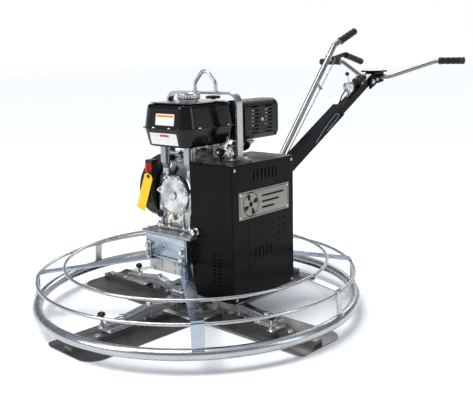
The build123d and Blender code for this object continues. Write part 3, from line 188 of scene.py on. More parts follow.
STEEL = finish_of("machined_steel", (0.60, 0.60, 0.61), 1.0, 0.24, second=(0.48, 0.48, 0.5), tone_scale=30,
                  stretch=(1, 1, 6), bump=0.1, bump_scale=900, dirt=(0.15, 0.12, 0.1), dirt_amount=0.3)
BLADE = finish_of("blade_steel", (0.20, 0.195, 0.185), 0.9, 0.33, second=(0.135, 0.13, 0.128),
                  tone_scale=5, rough_scale=12, rough_spread=0.1, bump=0.15, bump_scale=160,
                  dirt=(0.25, 0.22, 0.18), dirt_scale=7, dirt_low=0.5, dirt_high=0.75, dirt_amount=0.5)
CAST_ARM = finish_of("cast_arm", (0.48, 0.49, 0.50), 0.95, 0.36, second=(0.33, 0.335, 0.34), tone_scale=12,
                     bump=0.35, bump_scale=300, bump_mm=0.4, dirt=(0.13, 0.12, 0.11), dirt_scale=20,
                     dirt_low=0.55, dirt_high=0.72, dirt_amount=0.55)
CAST_BOX = finish_of("cast_box_grey", (0.62, 0.63, 0.59), 0.1, 0.42, second=(0.56, 0.58, 0.54), tone_scale=8,
                     bump=0.25, bump_scale=320, bump_mm=0.3, dirt=(0.2, 0.2, 0.19), dirt_scale=12,
                     dirt_amount=0.35)
CAST_ALU = finish_of("cast_aluminium", (0.66, 0.67, 0.67), 1.0, 0.30, second=(0.36, 0.365, 0.37),
                     tone_scale=16, tone_low=0.40, tone_high=0.58, rough_spread=0.1, bump=0.5,
                     bump_scale=150, bump_mm=0.9, dirt=(0.08, 0.078, 0.075), dirt_scale=26, dirt_low=0.52,
                     dirt_high=0.68, dirt_amount=0.65)
FRAME_GREY = finish_of("frame_grey", (0.40, 0.42, 0.42), 0.85, 0.32, second=(0.33, 0.345, 0.35),
                       tone_scale=8, bump=0.15, bump_scale=260, dirt=(0.2, 0.2, 0.19), dirt_amount=0.35)
BLACK = finish_of("black_enamel", (0.0042, 0.0042, 0.0045), 0.0, 0.28, second=(0.003, 0.003, 0.0033),
                  specular=0.075, tone_scale=5, rough_spread=0.07, rough_scale=9, bump=0.10,
                  bump_scale=190, bump_mm=0.2, dirt=(0.022, 0.022, 0.021), dirt_scale=9, dirt_low=0.56,
                  dirt_high=0.8, dirt_amount=0.3)
TANK = finish_of("tank_black", (0.004, 0.004, 0.0044), 0.0, 0.15, second=(0.003, 0.003, 0.0034),
                 specular=0.22, coat=0.12, coat_rough=0.05, rough_spread=0.04, rough_scale=7, bump=0.04,
                 bump_scale=150, bump_mm=0.2)
MUFFLER = finish_of("muffler_black", (0.014, 0.014, 0.014), 0.0, 0.42, second=(0.009, 0.009, 0.009),
                    specular=0.25, tone_scale=25, bump=0.3, bump_scale=500, dirt=(0.035, 0.032, 0.03),
                    dirt_amount=0.3)
PLASTIC = finish_of("black_plastic", (0.011, 0.011, 0.0115), 0.0, 0.40, second=(0.008, 0.008, 0.0085),
                    specular=0.3, tone_scale=20, bump=0.3, bump_scale=1100, bump_mm=0.12)
GRIP = finish_of("grip_rubber", (0.012, 0.012, 0.012), 0.0, 0.55, second=(0.017, 0.017, 0.016),
                 specular=0.3, tone_scale=40, bump=0.3, bump_scale=900, bump_mm=0.15,
                 dirt=(0.04, 0.038, 0.035), dirt_amount=0.3)
RED = finish_of("red_plastic", (0.60, 0.028, 0.018), 0.0, 0.32, second=(0.5, 0.022, 0.015), tone_scale=30,
                specular=0.4, bump=0.1, bump_scale=900, bump_mm=0.1)
YELLOW = finish_of("tag_yellow", (0.88, 0.56, 0.006), 0.0, 0.40, second=(0.82, 0.51, 0.006), tone_scale=25,
                   specular=0.3, bump=0.12, bump_scale=80, bump_mm=0.3)
WHITE = finish_of("label_white", (0.78, 0.78, 0.76), 0.0, 0.45, second=(0.72, 0.72, 0.70), tone_scale=30,
                  specular=0.3, bump=0.08, bump_scale=500, bump_mm=0.05, dirt=(0.5, 0.5, 0.48),
                  dirt_amount=0.2)
ORANGE = finish_of("label_orange", (0.80, 0.20, 0.01), 0.0, 0.45, second=(0.72, 0.17, 0.01), tone_scale=60,
                   specular=0.3, bump=0.08, bump_scale=500, bump_mm=0.05)
PINSTRIPE = finish_of("pinstripe_blue", (0.20, 0.29, 0.40), 0.0, 0.4, second=(0.16, 0.25, 0.35),
                      specular=0.3, tone_scale=40, bump=0.08, bump_scale=500, bump_mm=0.05)
NICKEL = finish_of("name_plate_metal", (0.27, 0.27, 0.235), 0.75, 0.40, second=(0.23, 0.23, 0.20),
                   tone_scale=24, stretch=(1, 1, 14), bump=0.12, bump_scale=420, bump_mm=0.1)
BRASS = finish_of("bronze", (0.55, 0.38, 0.14), 1.0, 0.3, second=(0.42, 0.28, 0.1), tone_scale=30,
                  bump=0.15, bump_scale=600)
RUBBER = finish_of("belt_rubber", (0.012, 0.012, 0.012), 0.0, 0.7, second=(0.018, 0.018, 0.017),
                   specular=0.3, tone_scale=40, bump=0.3, bump_scale=700)
RECOIL = finish_of("recoil_black", (0.011, 0.011, 0.012), 0.0, 0.34, second=(0.008, 0.008, 0.0085),
                   specular=0.3, tone_scale=18, bump=0.2, bump_scale=420, bump_mm=0.2)

# material, body and slot of the pieces that ride on the frame
BOLTED = BOLT, "chassis", "bolt_steel"
PRINTED = BLACK, "chassis", "black_paint"
MOULDED = PLASTIC, "chassis", "black_plastic"
CASTING = CAST_ALU, "chassis", "cast_alu"
MACHINED = CAST_ALU, "chassis", "machined_alu"
PLATED = ZINC, "chassis", "zinc"
FOLDED = BLUE_ZINC, "chassis", "grey_frame"


# ---- building ----
def piece(name, bm, matrix, material, body, slot=None, smooth=True, bevel=0.0, segments=2):
    """A finished mesh piece from plane coordinates in millimetres."""
    bmesh.ops.remove_doubles(bm, verts=bm.verts, dist=1e-4)
    bmesh.ops.recalc_face_normals(bm, faces=bm.faces)
    if bevel:
        sharp = [e for e in bm.edges if len(e.link_faces) == 2 and e.calc_face_angle(0) > 0.6]
        bmesh.ops.bevel(bm, geom=sharp, offset=bevel, segments=segments, profile=0.5, affect="EDGES",
                        clamp_overlap=True)
    bm.transform(matrix)
    mesh = bpy.data.meshes.new(name)
    bm.to_mesh(mesh)
    bm.free()
    o = bpy.data.objects.new(name, mesh)
    bpy.context.scene.collection.objects.link(o)
    mesh.materials.append(material)
    if smooth:
        mesh.shade_smooth()
        mesh.set_sharp_from_angle(angle=radians(38))
    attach(o, body)
    return o


def rounded(points, radius, steps=5):
    """A closed outline with its corners rounded."""
    out = []
    count = len(points)
    for i, p in enumerate(points):
        p = Vector(p)
        a, b = Vector(points[i - 1]) - p, Vector(points[(i + 1) % count]) - p
        angle = a.angle(b)
        if angle > 3.1:
            out.append(tuple(p))
            continue
        cut = min(radius / max(1e-6, abs(sin(angle / 2) / cos(angle / 2))), a.length * 0.49,
                  b.length * 0.49)
        start, end = p + a.normalized() * cut, p + b.normalized() * cut
        for k in range(steps + 1):
            t = k / steps
            out.append(tuple(start * (1 - t) ** 2 + p * 2 * t * (1 - t) + end * t * t))
    return out


def rect(w, h, x=0, y=0):
    return [(x - w / 2, y - h / 2), (x + w / 2, y - h / 2), (x + w / 2, y + h / 2), (x - w / 2, y + h / 2)]


def ring(r, x=0, y=0, count=40):
    return [(x + r * cos(2 * pi * k / count), y + r * sin(2 * pi * k / count)) for k in range(count)]


def slab(bm, outline, low, high):
    """Adds one extruded outline to a mesh, from low to high along the plane's normal."""
    bottom = [bm.verts.new((x, y, low)) for x, y in outline]
    top = [bm.verts.new((x, y, high)) for x, y in outline]
    bm.faces.new(list(reversed(bottom)))
    bm.faces.new(top)
    for i in range(len(outline)):
        j = (i + 1) % len(outline)
        bm.faces.new((bottom[i], bottom[j], top[j], top[i]))


def plate(name, outline, matrix, low, high, material, body, slot=None, bevel=0.8):
    bm = bmesh.new()
    slab(bm, outline, low, high)
    return piece(name, bm, matrix, material, body, slot, bevel=bevel)


def turned(bm, profile, count=48):
    """Adds one lathe-turned shape around local z. profile is (radius, height) from the axis out and back."""
    rows = []
    for r, h in profile:
        if r < 1e-6:
            rows.append([bm.verts.new((0, 0, h))])
        else:
            rows.append([bm.verts.new((r * cos(2 * pi * k / count), r * sin(2 * pi * k / count), h))
                         for k in range(count)])
    for a, b in zip(rows, rows[1:]):
        for k in range(count):
            j = (k + 1) % count
            ring_a = [a[k % len(a)], a[j % len(a)]]
            ring_b = [b[j % len(b)], b[k % len(b)]]
            loop = []
            for v in ring_a + ring_b:
                if v not in loop:
                    loop.append(v)
            if len(loop) > 2:
                bm.faces.new(loop)


def flute(bm, beyond, depth, count):
    """Presses flutes into the rim of a turned shape, outside a radius."""
    for v in bm.verts:
        if hypot(v.co.x, v.co.y) > beyond:
            k = 1 - depth * (0.5 + 0.5 * cos(count * atan2(v.co.y, v.co.x)))
            v.co.x *= k
            v.co.y *= k


def lathe(name, profile, matrix, material, body, slot=None, count=48):
    bm = bmesh.new()
    turned(bm, profile, count)
    return piece(name, bm, matrix, material, body, slot)


def absorb(bm, one):
    """Moves the shapes of one mesh into another."""
    spare = bpy.data.meshes.new("spare")
    one.to_mesh(spare)
    one.free()
    bm.from_mesh(spare)
    bpy.data.meshes.remove(spare)


def bolts(name, places, material, body, slot=None):
    """A set of hexagon heads with washers: (plane matrix, across flats, height, washer radius)."""
    bm = bmesh.new()
    for matrix, across, height, washer in places:
        one = bmesh.new()
        r = across / 2 / cos(pi / 6)
        rows = [(r, 1.4), (r, height * 0.82), (r * 0.86, height), (0.0, height)]
        turned(one, rows, 6)
        turned(one, [(0, 0), (washer, 0), (washer, 1.2), (washer - 0.5, 1.7), (0, 1.7)], 24)
        one.transform(matrix)
        absorb(bm, one)
    bm.transform(Matrix.Scale(1000, 4))
    return piece(name, bm, Matrix.Scale(0.001, 4), material, body, slot)


def corner_path(points, radius, steps=8):
    """An open path of 3-D points in millimetres whose inner corners are rounded."""
    points = [Vector(p) for p in points]
    out = [points[0]]
    for i in range(1, len(points) - 1):
        p = points[i]
        a, b = (points[i - 1] - p), (points[i + 1] - p)
        half = a.angle(b) / 2
        cut = min(radius * cos(half) / sin(half), a.length * 0.48, b.length * 0.48)
        centre = p + (a.normalized() + b.normalized()).normalized() * (cut / cos(half))
        start = p + a.normalized() * cut
        end = p + b.normalized() * cut
        u, v = start - centre, end - centre
        turn = u.angle(v)
        for k in range(steps + 1):
            t = k / steps
            out.append(centre + (u * sin((1 - t) * turn) + v * sin(t * turn)) / sin(turn))
    out.append(points[-1])
    return out


def skin(bm, rows):
    """Joins rings of vertices into a tube with an end face at both ends."""
    for a, b in zip(rows, rows[1:]):
        for k in range(len(a)):
            j = (k + 1) % len(a)
            bm.faces.new((a[k], a[j], b[j], b[k]))
    bm.faces.new(list(reversed(rows[0])))
    bm.faces.new(rows[-1])


def swept(bm, path, section, x_dir):
    """Adds a section swept along a path: its x stays along x_dir, its y is square to both."""
    rows = []
    count = len(path)
    for i, p in enumerate(path):
        before = path[max(i - 1, 0)]
        after = path[min(i + 1, count - 1)]
        forward = (Vector(after) - Vector(before)).normalized()
        wide = Vector(x_dir)
        tall = forward.cross(wide).normalized()
        wide = tall.cross(forward).normalized()
        stretch = 1.0
        if 0 < i < count - 1:
            a = (Vector(p) - Vector(before)).normalized()
            b = (Vector(after) - Vector(p)).normalized()
            stretch = 1 / max(0.6, cos(a.angle(b, 0) / 2))
        rows.append([bm.verts.new(Vector(p) + wide * x + tall * (y * stretch)) for x, y in section])
    skin(bm, rows)


def melted(name, build, material, body, slot, voxel, smooth):
    """A casting: overlapping solids fused into one skin with soft inner corners."""
    bm = bmesh.new()
    build(bm)
    bmesh.ops.recalc_face_normals(bm, faces=bm.faces)
    bm.transform(ROTOR_MM)
    mesh = bpy.data.meshes.new(name + "_raw")
    bm.to_mesh(mesh)
    bm.free()
    raw = bpy.data.objects.new(name + "_raw", mesh)
    bpy.context.scene.collection.objects.link(raw)
    remesh = raw.modifiers.new("remesh", "REMESH")
    remesh.mode = "VOXEL"
    remesh.voxel_size = voxel / 1000 * 1.0
    soften = raw.modifiers.new("smooth", "SMOOTH")
    soften.iterations = smooth
    soften.factor = 0.6
    bpy.context.view_layer.update()
    graph = bpy.context.evaluated_depsgraph_get()
    final = bpy.data.meshes.new_from_object(raw.evaluated_get(graph))
    bpy.data.objects.remove(raw)
    final.name = name
    final.materials.clear()
    final.materials.append(material)
    final.shade_smooth()
    o = bpy.data.objects.new(name, final)
    bpy.context.scene.collection.objects.link(o)
    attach(o, body)
    return o


def solid(bm, outline, matrix, low, high):
    """Adds an extruded outline on a plane to a mesh in rotor millimetres."""
    one = bmesh.new()
    slab(one, outline, low, high)
    one.transform(ROTOR_MM.inverted() @ matrix)
    absorb(bm, one)


def round_solid(bm, profile, matrix, count=40):
    """Adds a turned shape on a plane to a mesh in rotor millimetres."""
    one = bmesh.new()
    turned(one, profile, count)
    one.transform(ROTOR_MM.inverted() @ matrix)
    absorb(bm, one)


# ---- camera, floor and lights ----
YAW, PITCH, ROLL = 0.7178, 0.2053, -0.0217
CAMERA_PLACE = (1.7694174, -2.1913699, 0.9133098)
forward = Vector((-sin(YAW) * cos(PITCH), cos(YAW) * cos(PITCH), -sin(PITCH)))
right = Vector((cos(YAW), sin(YAW), 0))
up = right.cross(forward)
cam_x = right * cos(ROLL) + up * sin(ROLL)
cam_y = up * cos(ROLL) - right * sin(ROLL)
turn = Matrix((cam_x, cam_y, -forward)).transposed().to_4x4()
lens = bpy.data.cameras.new("camera")
lens.lens, lens.sensor_width = 55.187, 36.0
camera = bpy.data.objects.new("camera", lens)
camera.matrix_world = Matrix.Translation(CAMERA_PLACE) @ turn
bpy.context.scene.collection.objects.link(camera)
bpy.context.scene.camera = camera

FLOOR = finish_of("floor", (0.93, 0.93, 0.925), 0.0, 0.85, second=(0.92, 0.92, 0.915), bump=0.02)
floor_mesh = bpy.data.meshes.new("floor")
floor_mesh.from_pydata([(-30, -30, 0), (30, -30, 0), (30, 30, 0), (-30, 30, 0)], [], [(0, 1, 2, 3)])
floor = bpy.data.objects.new("floor", floor_mesh)
floor_mesh.materials.append(FLOOR)
bpy.context.scene.collection.objects.link(floor)

bpy.context.scene.view_settings.view_transform = "Standard"
world = bpy.data.worlds.new("studio")
world.use_nodes = True
sky, sky_links = world.node_tree.nodes, world.node_tree.links
coord = sky.new("ShaderNodeTexCoord")
split = sky.new("ShaderNodeSeparateXYZ")
fade = sky.new("ShaderNodeValToRGB")
fade.color_ramp.elements[0].position = 0.0
fade.color_ramp.elements[0].color = (1, 1, 1, 1)
fade.color_ramp.elements[1].position = 1.0
fade.color_ramp.elements[1].color = (0.85, 0.88, 0.92, 1)
for place, color in ((0.09, (1, 1, 1, 1)), (0.26, (0.16, 0.19, 0.24, 1)), (0.62, (0.22, 0.26, 0.32, 1))):
    fade.color_ramp.elements.new(place).color = color
sky_links.new(coord.outputs["Generated"], split.inputs["Vector"])
sky_links.new(split.outputs["Z"], fade.inputs["Fac"])
sky_links.new(fade.outputs["Color"], sky["Background"].inputs["Color"])
sky["Background"].inputs["Strength"].default_value = 1.0
bpy.context.scene.world = world


def softbox(name, place, target, size, power, color=(1, 1, 1)):
    light = bpy.data.lights.new(name, "AREA")
    light.shape, light.size, light.size_y = "RECTANGLE", size[0], size[1]
    light.energy, light.color = power, color
    o = bpy.data.objects.new(name, light)
    o.location = place
    o.rotation_euler = (Vector(target) - Vector(place)).to_track_quat("-Z", "Y").to_euler()
    bpy.context.scene.collection.objects.link(o)


softbox("key_light", (-1.4, -3.6, 2.4), (0, -0.3, 0.4), (1.6, 1.4), 60)
softbox("fill_light", (3.8, 0.6, 2.2), (0, 0, 0.5), (1.0, 2.0), 26, (0.93, 0.96, 1.0))
softbox("back_light", (-1.4, 3.4, 2.6), (0, 0.3, 0.6), (2.4, 1.4), 40)
sun = bpy.data.lights.new("sky_light", "SUN")
sun.energy, sun.angle = 2.05, radians(28)
sun_object = bpy.data.objects.new("sky_light", sun)
sun_object.rotation_euler = (radians(14), radians(-10), 0)
bpy.context.scene.collection.objects.link(sun_object)

# ---- finishes of the CAD nodes ----
FINISHES = {
    ZINC: "guard_ring guard_rods lift_bale pitch_link",
    HANDLE: "handlebar pitch_lever",
    BLUE_ZINC: "guard_spokes mount_block",
    FRAME_GREY: "engine_deck tank_brackets",
    BOLT: "frame_bolts throttle_lever fuel_cap",
    CAST_BOX: "gearbox_housing gearbox_cover",
    CAST_ALU: "crankcase cylinder_head valve_cover carburettor flywheel",
    CAST_ARM: "spider_hub pitch_yoke trowel_arm_1 trowel_arm_2 trowel_arm_3 trowel_arm_4",
    STEEL: "gearbox_bearings crankshaft clutch_pulley worm_shaft driven_pulley output_shaft "
           "pressure_plate thrust_collar latch_rod muffler",
    BRASS: "worm_wheel",
    BLADE: "blade_1 blade_2 blade_3 blade_4",
    RECOIL: "fan_housing recoil_cover",
    TANK: "fuel_tank",
    PLASTIC: "air_cleaner starter_handle stop_switch_box squeeze_lever",
    MUFFLER: "muffler_guard",
    BLACK: "belt_cover cover_back_plate mast_sleeve mast_tube handlebar_bracket",
    RUBBER: "drive_belt throttle_cable",
    GRIP: "handlebar_grips pitch_lever_grip",
    RED: "engine_switch",
    YELLOW: "hang_tag",
}
for finish, names in FINISHES.items():
    for node_name in names.split():
        NODES[node_name].data.materials.clear()
        NODES[node_name].data.materials.append(finish)


# ---- belt cover: name plate, louvres and fixings ----
def dress_belt_cover():
    face = 271.0
    y0, z0, w, h = 56.0, 419.0, 266.0, 92.0
    ink = (1.85, 2.1)
    plate("name_plate", rounded(rect(w, h, y0, z0), 3), side(face), 0.3, 1.8, NICKEL, "chassis", "steel", 0.3)
    frame_bm = bmesh.new()
    for dy, dz, bw, bh in ((0, h / 2 - 5, w - 26, 1.6), (0, 5 - h / 2, w - 26, 1.6),
                           (w / 2 - 5, 0, 1.6, h - 26), (5 - w / 2, 0, 1.6, h - 26)):
        slab(frame_bm, rect(bw, bh, y0 + dy, z0 + dz), *ink)
    icon_y = y0 - 72
    for k in range(4):
        a = radians(90 * k + 20)
        blade_shape = [(14, -2), (33, -9), (36, 3), (33, 10), (14, 5)]
        slab(frame_bm, [(icon_y + x * cos(a) - y * sin(a), z0 + x * sin(a) + y * cos(a))
                        for x, y in blade_shape], *ink)
    slab(frame_bm, ring(9, icon_y, z0, 28), *ink)
    for k in range(3):
        slab(frame_bm, rounded(rect(118 - 26 * k, 7, y0 + 44 - 13 * k, z0 + 20 - 20 * k), 3), *ink)
    piece("name_plate_emblem", frame_bm, side(face), *PRINTED, smooth=False)
    band = bmesh.new()
    count = 48
    for k in range(count):
        a, b = 2 * pi * k / count, 2 * pi * (k + 1) / count
        slab(band, [(icon_y + r * cos(t), z0 + r * sin(t))
                    for r, t in ((38, a), (40.5, a), (40.5, b), (38, b))], *ink)
    piece("name_plate_ring", band, side(face), *PRINTED, smooth=False)
    rivets = bmesh.new()
    for sy in (-1, 1):
        for sz in (-1, 1):
            one = bmesh.new()
            turned(one, [(4.2, 1.8), (4.0, 2.8), (2.6, 3.8), (0, 4.1)], 20)
            one.transform(Matrix.Translation((y0 + sy * (w / 2 - 9), z0 + sz * (h / 2 - 9), 0)))
            absorb(rivets, one)
    piece("name_plate_rivets", rivets, side(face), *BOLTED)
    louvres = bmesh.new()
    for row_z, count, first in ((512, 7, 6), (248, 5, 10)):
        for k in range(count):
            slab(louvres, rounded(rect(7, 34, first + 20 * k, row_z), 3.4), -0.5, 2.6)
    piece("cover_louvres", louvres, side(face), *PRINTED, bevel=1.2)
    fold = bmesh.new()
    run = [(-60, 168, 0.2), (-60, 140, 0.2), (-24, 136, 0.2), (-24, 358, 0.2)]
    swept(fold, corner_path(run, 14, 6), ring(1.1, count=8), (0, 0, 1))
    piece("cover_fold_lines", fold, side(face), *PRINTED)
    bolts("cover_fixings", [(side(face, y, z), 7, 3.5, 5.5) for y, z in
                            ((-94, 541), (206, 541), (-94, 109), (206, 109))], STEEL, "chassis", "bolt_steel")
    knob = front(-108, 106, 320)
    lathe("cover_knob", [(0, 12), (7, 12), (11, 13.5), (12, 17), (10.5, 21), (6, 23.5), (0, 24)],
          knob, *BOLTED, 28)
    lathe("cover_knob_washer", [(0, 0.2), (14, 0.2), (14, 1.6), (12.6, 2.4), (0, 2.4)],
          knob, *PLATED, 28)


dress_belt_cover()


# ---- fuel tank labels, cap and seam screws ----
def dress_tank():
    lean = radians(9)
    upper = basis((1, 0, 0), (0, sin(lean), cos(lean)), (45.5, -178 + 29.5 * sin(lean) / cos(lean), 699.5))
    lean = radians(13)
    lower = basis((1, 0, 0), (0, -sin(lean), cos(lean)), (34.0, -178 + 34.5 * sin(lean) / cos(lean), 635.5))
    plate("tank_label_upper", rounded(rect(86, 37), 2.5), upper, 0.2, 0.6, WHITE, "chassis", "tank_black", 0)
    plate("tank_label_upper_band", rounded(rect(80, 7, 0, 11.5), 1.5), upper, 0.6, 0.8, ORANGE, "chassis",
          "tank_black", 0)
    plate("tank_label_lower", rounded(rect(126, 40), 2.5), lower, 0.2, 0.6, WHITE, "chassis", "tank_black", 0)
    plate("tank_label_lower_band", rounded(rect(42, 7, 6, 11.5), 1.5), lower, 0.6, 0.8, RED, "chassis",
          "tank_black", 0)
    bolts("tank_seam_screws", [(level(671.5, x, y), 8, 4, 6) for x, y in
                               ((-78.5, -120), (-78.5, 20), (150.5, -120), (150.5, 20), (0, -181.5),
                                (72, -181.5))], *BOLTED)
    cap = level(758.4, CAP_X, CAP_Y)
    rim = bmesh.new()
    turned(rim, [(0, 0.2), (38.5, 0.2), (39.6, 1.2), (39.6, 16.5), (38.2, 18.8), (31, 19.6), (29.5, 17.6),
                 (0, 17.2)], 96)
    flute(rim, 38.9, 0.035, 24)
    shell = piece("fuel_cap_shell", rim, cap, ZINC, "cap", "machined_alu")
    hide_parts("fuel_cap")
    lathe("fuel_cap_neck", [(0, -8), (23.4, -8), (23.4, 0.4), (0, 0.4)], cap, STEEL, "cap",
          "machined_alu")
    lathe("fuel_filler_flange", [(24.5, 5.8), (33, 5.8), (34, 4.6), (34, 1.2), (24.5, 1.2), (24.5, 5.8)],
          level(751.6, CAP_X, CAP_Y), STEEL, "chassis", "machined_alu")


dress_tank()


# ---- engine: crankcase casting and its fittings ----
def crankcase_shape(bm):
    block = rounded([(-84, 318), (90, 318), (93, 400), (110, 424), (60, 534), (52, 537), (-38, 537),
                     (-78, 494), (-91, 440), (-88, 400)], 8)
    solid(bm, block, side(-92), 0, 172)
    solid(bm, rounded([(-100, 305.5), (104, 305.5), (104, 320), (-100, 320)], 3), side(-98), 0, 182)
    round_solid(bm, [(0, 0), (70, 0), (70, 12), (64, 17), (30, 19), (0, 19)], front(-84, -6, 432), 48)
    for x, z in CRANK_SCREWS:
        round_solid(bm, [(0, 0), (10, 0), (10, 19), (0, 19)], front(-84, x, z), 20)
    for x in (-74, -40, 30, 62):
        solid(bm, [(-86, 316), (-100, 316), (-97, 350), (-88, 400), (-84, 400)], side(x), 0, 6)
    solid(bm, rounded(rect(70, 44, -4, 352), 8), front(-84), 0, 12)
    for x in (-80, 62):
        solid(bm, rounded([(-80, 470), (-60, 540), (-50, 540), (-50, 470)], 4), side(x), 0, 14)
    for x, y in ((-88, -93), (66, -93), (-88, 99), (66, 99)):
        round_solid(bm, [(0, 306), (10.5, 306), (10.5, 322), (0, 322)], level(0, x, y), 24)
    round_solid(bm, [(0, 0), (15, 0), (15, 16), (12, 19), (0, 19)], OIL_FILLER, 28)
    solid(bm, rounded([(-60, 500), (-30, 500), (-26, 600), (-52, 600)], 5), front(-96), -10, 0)
    solid(bm, rounded([(56, 496), (82, 496), (84, 600), (62, 600)], 5), front(-96), -10, 0)
    solid(bm, rounded([(-46, 538), (70, 538), (62, 548), (-40, 548)], 3), front(-44), -70, 0)
    solid(bm, rounded(rect(32, 40, -84, 20), 6), level(0), 528, 555)


casting = melted("crankcase_casting", crankcase_shape, *CASTING, voxel=2.6, smooth=5)
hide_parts("crankcase")
bolts("crankcase_screws", [(front(-103.5, x, z), 10, 6, 7.5) for x, z in CRANK_SCREWS]
      + [(front(-96.5, x, z), 8, 5, 6.5) for x, z in ((-28, 366), (20, 366), (-28, 338), (20, 338))],
      *BOLTED)
lathe("crankcase_boss_cap", [(0, 19), (17, 19), (18, 20.5), (17, 24), (12, 26), (0, 26.5)],
      front(-84, -6, 432), *CASTING, 32)
lathe("oil_filler_cap", [(0, 19.2), (13, 19.2), (14, 21), (14, 26), (12, 28.5), (5, 29), (4.4, 34),
                         (0, 34.5)], OIL_FILLER, *MOULDED, 24)
lathe("oil_drain_plug", [(0, 0), (10, 0), (10, 2.2), (7, 2.6), (7, 9), (0, 9.4)],
      front(-96.6, -4, 352), BRASS, "chassis", "brass", 6)


# ---- engine: starter badge, screws and rope ----
def dress_starter():
    disc_plane = side(-184, 0, RECOIL_Z) @ HALF_TURN
    bm = bmesh.new()
    turned(bm, [(0, 1.2), (26, 1.2), (30, 0.2), (30, -1.5)], 40)
    piece("recoil_centre_badge", bm, disc_plane, *CASTING)
    bolts("recoil_screws", [(side(-160.4, 101 * cos(a), RECOIL_Z + 101 * sin(a)) @ HALF_TURN, 8, 5, 7)
                            for a in map(radians, (100, 165, 230, 340))], *BOLTED)
    lean = radians(30)
    rope = bmesh.new()
    path = [(-173, d * cos(lean), RECOIL_Z + d * sin(lean)) for d in [84 + 1.25 * k for k in range(25)]]
    swept(rope, path, ring(2.6, count=12), (1, 0, 0))
    o = piece("starter_rope", rope, ROTOR_MM, WHITE, "chassis", "black_plastic")
    o.parent = None
    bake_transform(o)


dress_starter()


# ---- air cleaner knob, choke and control plate ----
def dress_controls():
    knob = bmesh.new()
    turned(knob, [(0, 710), (22, 710), (27, 711), (27.4, 715), (25, 718.6), (10, 719.6), (0, 719.8)], 72)
    flute(knob, 24, 0.06, 9)
    piece("air_cleaner_knob", knob, level(37.0, -45, 158), *MOULDED)
    plate("control_plate", rounded([(122, 560), (150, 556), (186, 562), (206, 578), (196, 600), (176, 606),
                                    (166, 622), (150, 606), (132, 592)], 6), front(-19), -2.5, 0, BOLT,
          "chassis", "machined_alu", 0.6)
    plate("control_plate_foot", rounded(rect(70, 30, 164, -4), 4), level(555.4), 0.2, 3.4, BOLT, "chassis",
          "zinc")
    plate("control_bracket", rounded([(160, 590), (178, 600), (190, 628), (182, 640), (168, 616),
                                      (154, 604)], 4), front(-22), 0.3, 3.0, BOLT, "chassis", "zinc", 0.5)
    plate("control_arm", rounded([(150, 570), (160, 568), (200, 588), (196, 597), (152, 582)], 3), front(-22),
          0.3, 2.6, *PLATED, 0.4)
    lathe("choke_knob", [(0, 3), (12, 3), (14.5, 5), (14.5, 13), (12, 16), (7, 16.6), (0, 16.8)],
          front(-20, 150, 584), *MOULDED, 30)
    lathe("choke_knob_screw", [(0, 16.8), (5.5, 16.8), (5, 19), (0, 19.6)], front(-20, 150, 584), *BOLTED, 20)
    bolts("control_screws", [(front(-19.2, 186, 578), 9, 6, 8), (front(-22.2, 172, 598), 8, 5, 7),
                             (level(558.8, 136, 4), 9, 6, 8), (level(558.8, 186, -10), 9, 6, 8)], *BOLTED)
    rod = bmesh.new()
    swept(rod, corner_path([(186, -25, 592), (150, -30, 602), (60, -32, 596), (20, -32, 588)], 16),
          ring(2.0, count=10), (0, 1, 0))
    piece("control_rod", rod, ROTOR_MM, STEEL, "chassis", "steel")
    lathe("bale_foot_washer", [(0, 0.2), (12, 0.2), (12, 1.6), (11, 2.2), (0, 2.2)], level(563, 222, 20),
          *BOLTED, 28)


dress_controls()


# ---- muffler: collar, nuts, screws and tip ----
def dress_muffler():
    lathe("exhaust_collar", [(17.4, 0), (25, 0), (26, 1.5), (26, 7), (24, 9), (19, 10), (17.4, 10),
                             (17.4, 0)], level(594, 111, 162), *CASTING, 36)
    bolts("exhaust_nuts", [(side(65, 162 + 21 * cos(a), 578 + 21 * sin(a)), 9, 6, 6)
                           for a in (radians(40), radians(220))], *BOLTED)
    bolts("muffler_screws", [(side(160, y, z), 7, 3.5, 6) for y, z in
                             ((112, 734), (263, 734), (112, 620), (263, 620))], MUFFLER, "chassis",
          "bolt_steel")
    bolts("muffler_centre_screw", [(side(160, 187.5, 677), 7, 3.5, 6)], *BOLTED)
    lathe("exhaust_tip", [(9, 0), (12, 0), (12.6, 1), (12.6, 22), (11.4, 23), (10.4, 22), (10.4, 1), (9, 0)],
          front(279, 111, 700) @ HALF_TURN, MUFFLER, "chassis", "muffler_black", 28)


dress_muffler()


# ---- rotor: four cast arms, their knobs and the blade fixings ----
ARM_ANGLES = (267.5, -2.5, 87.5, 177.5)


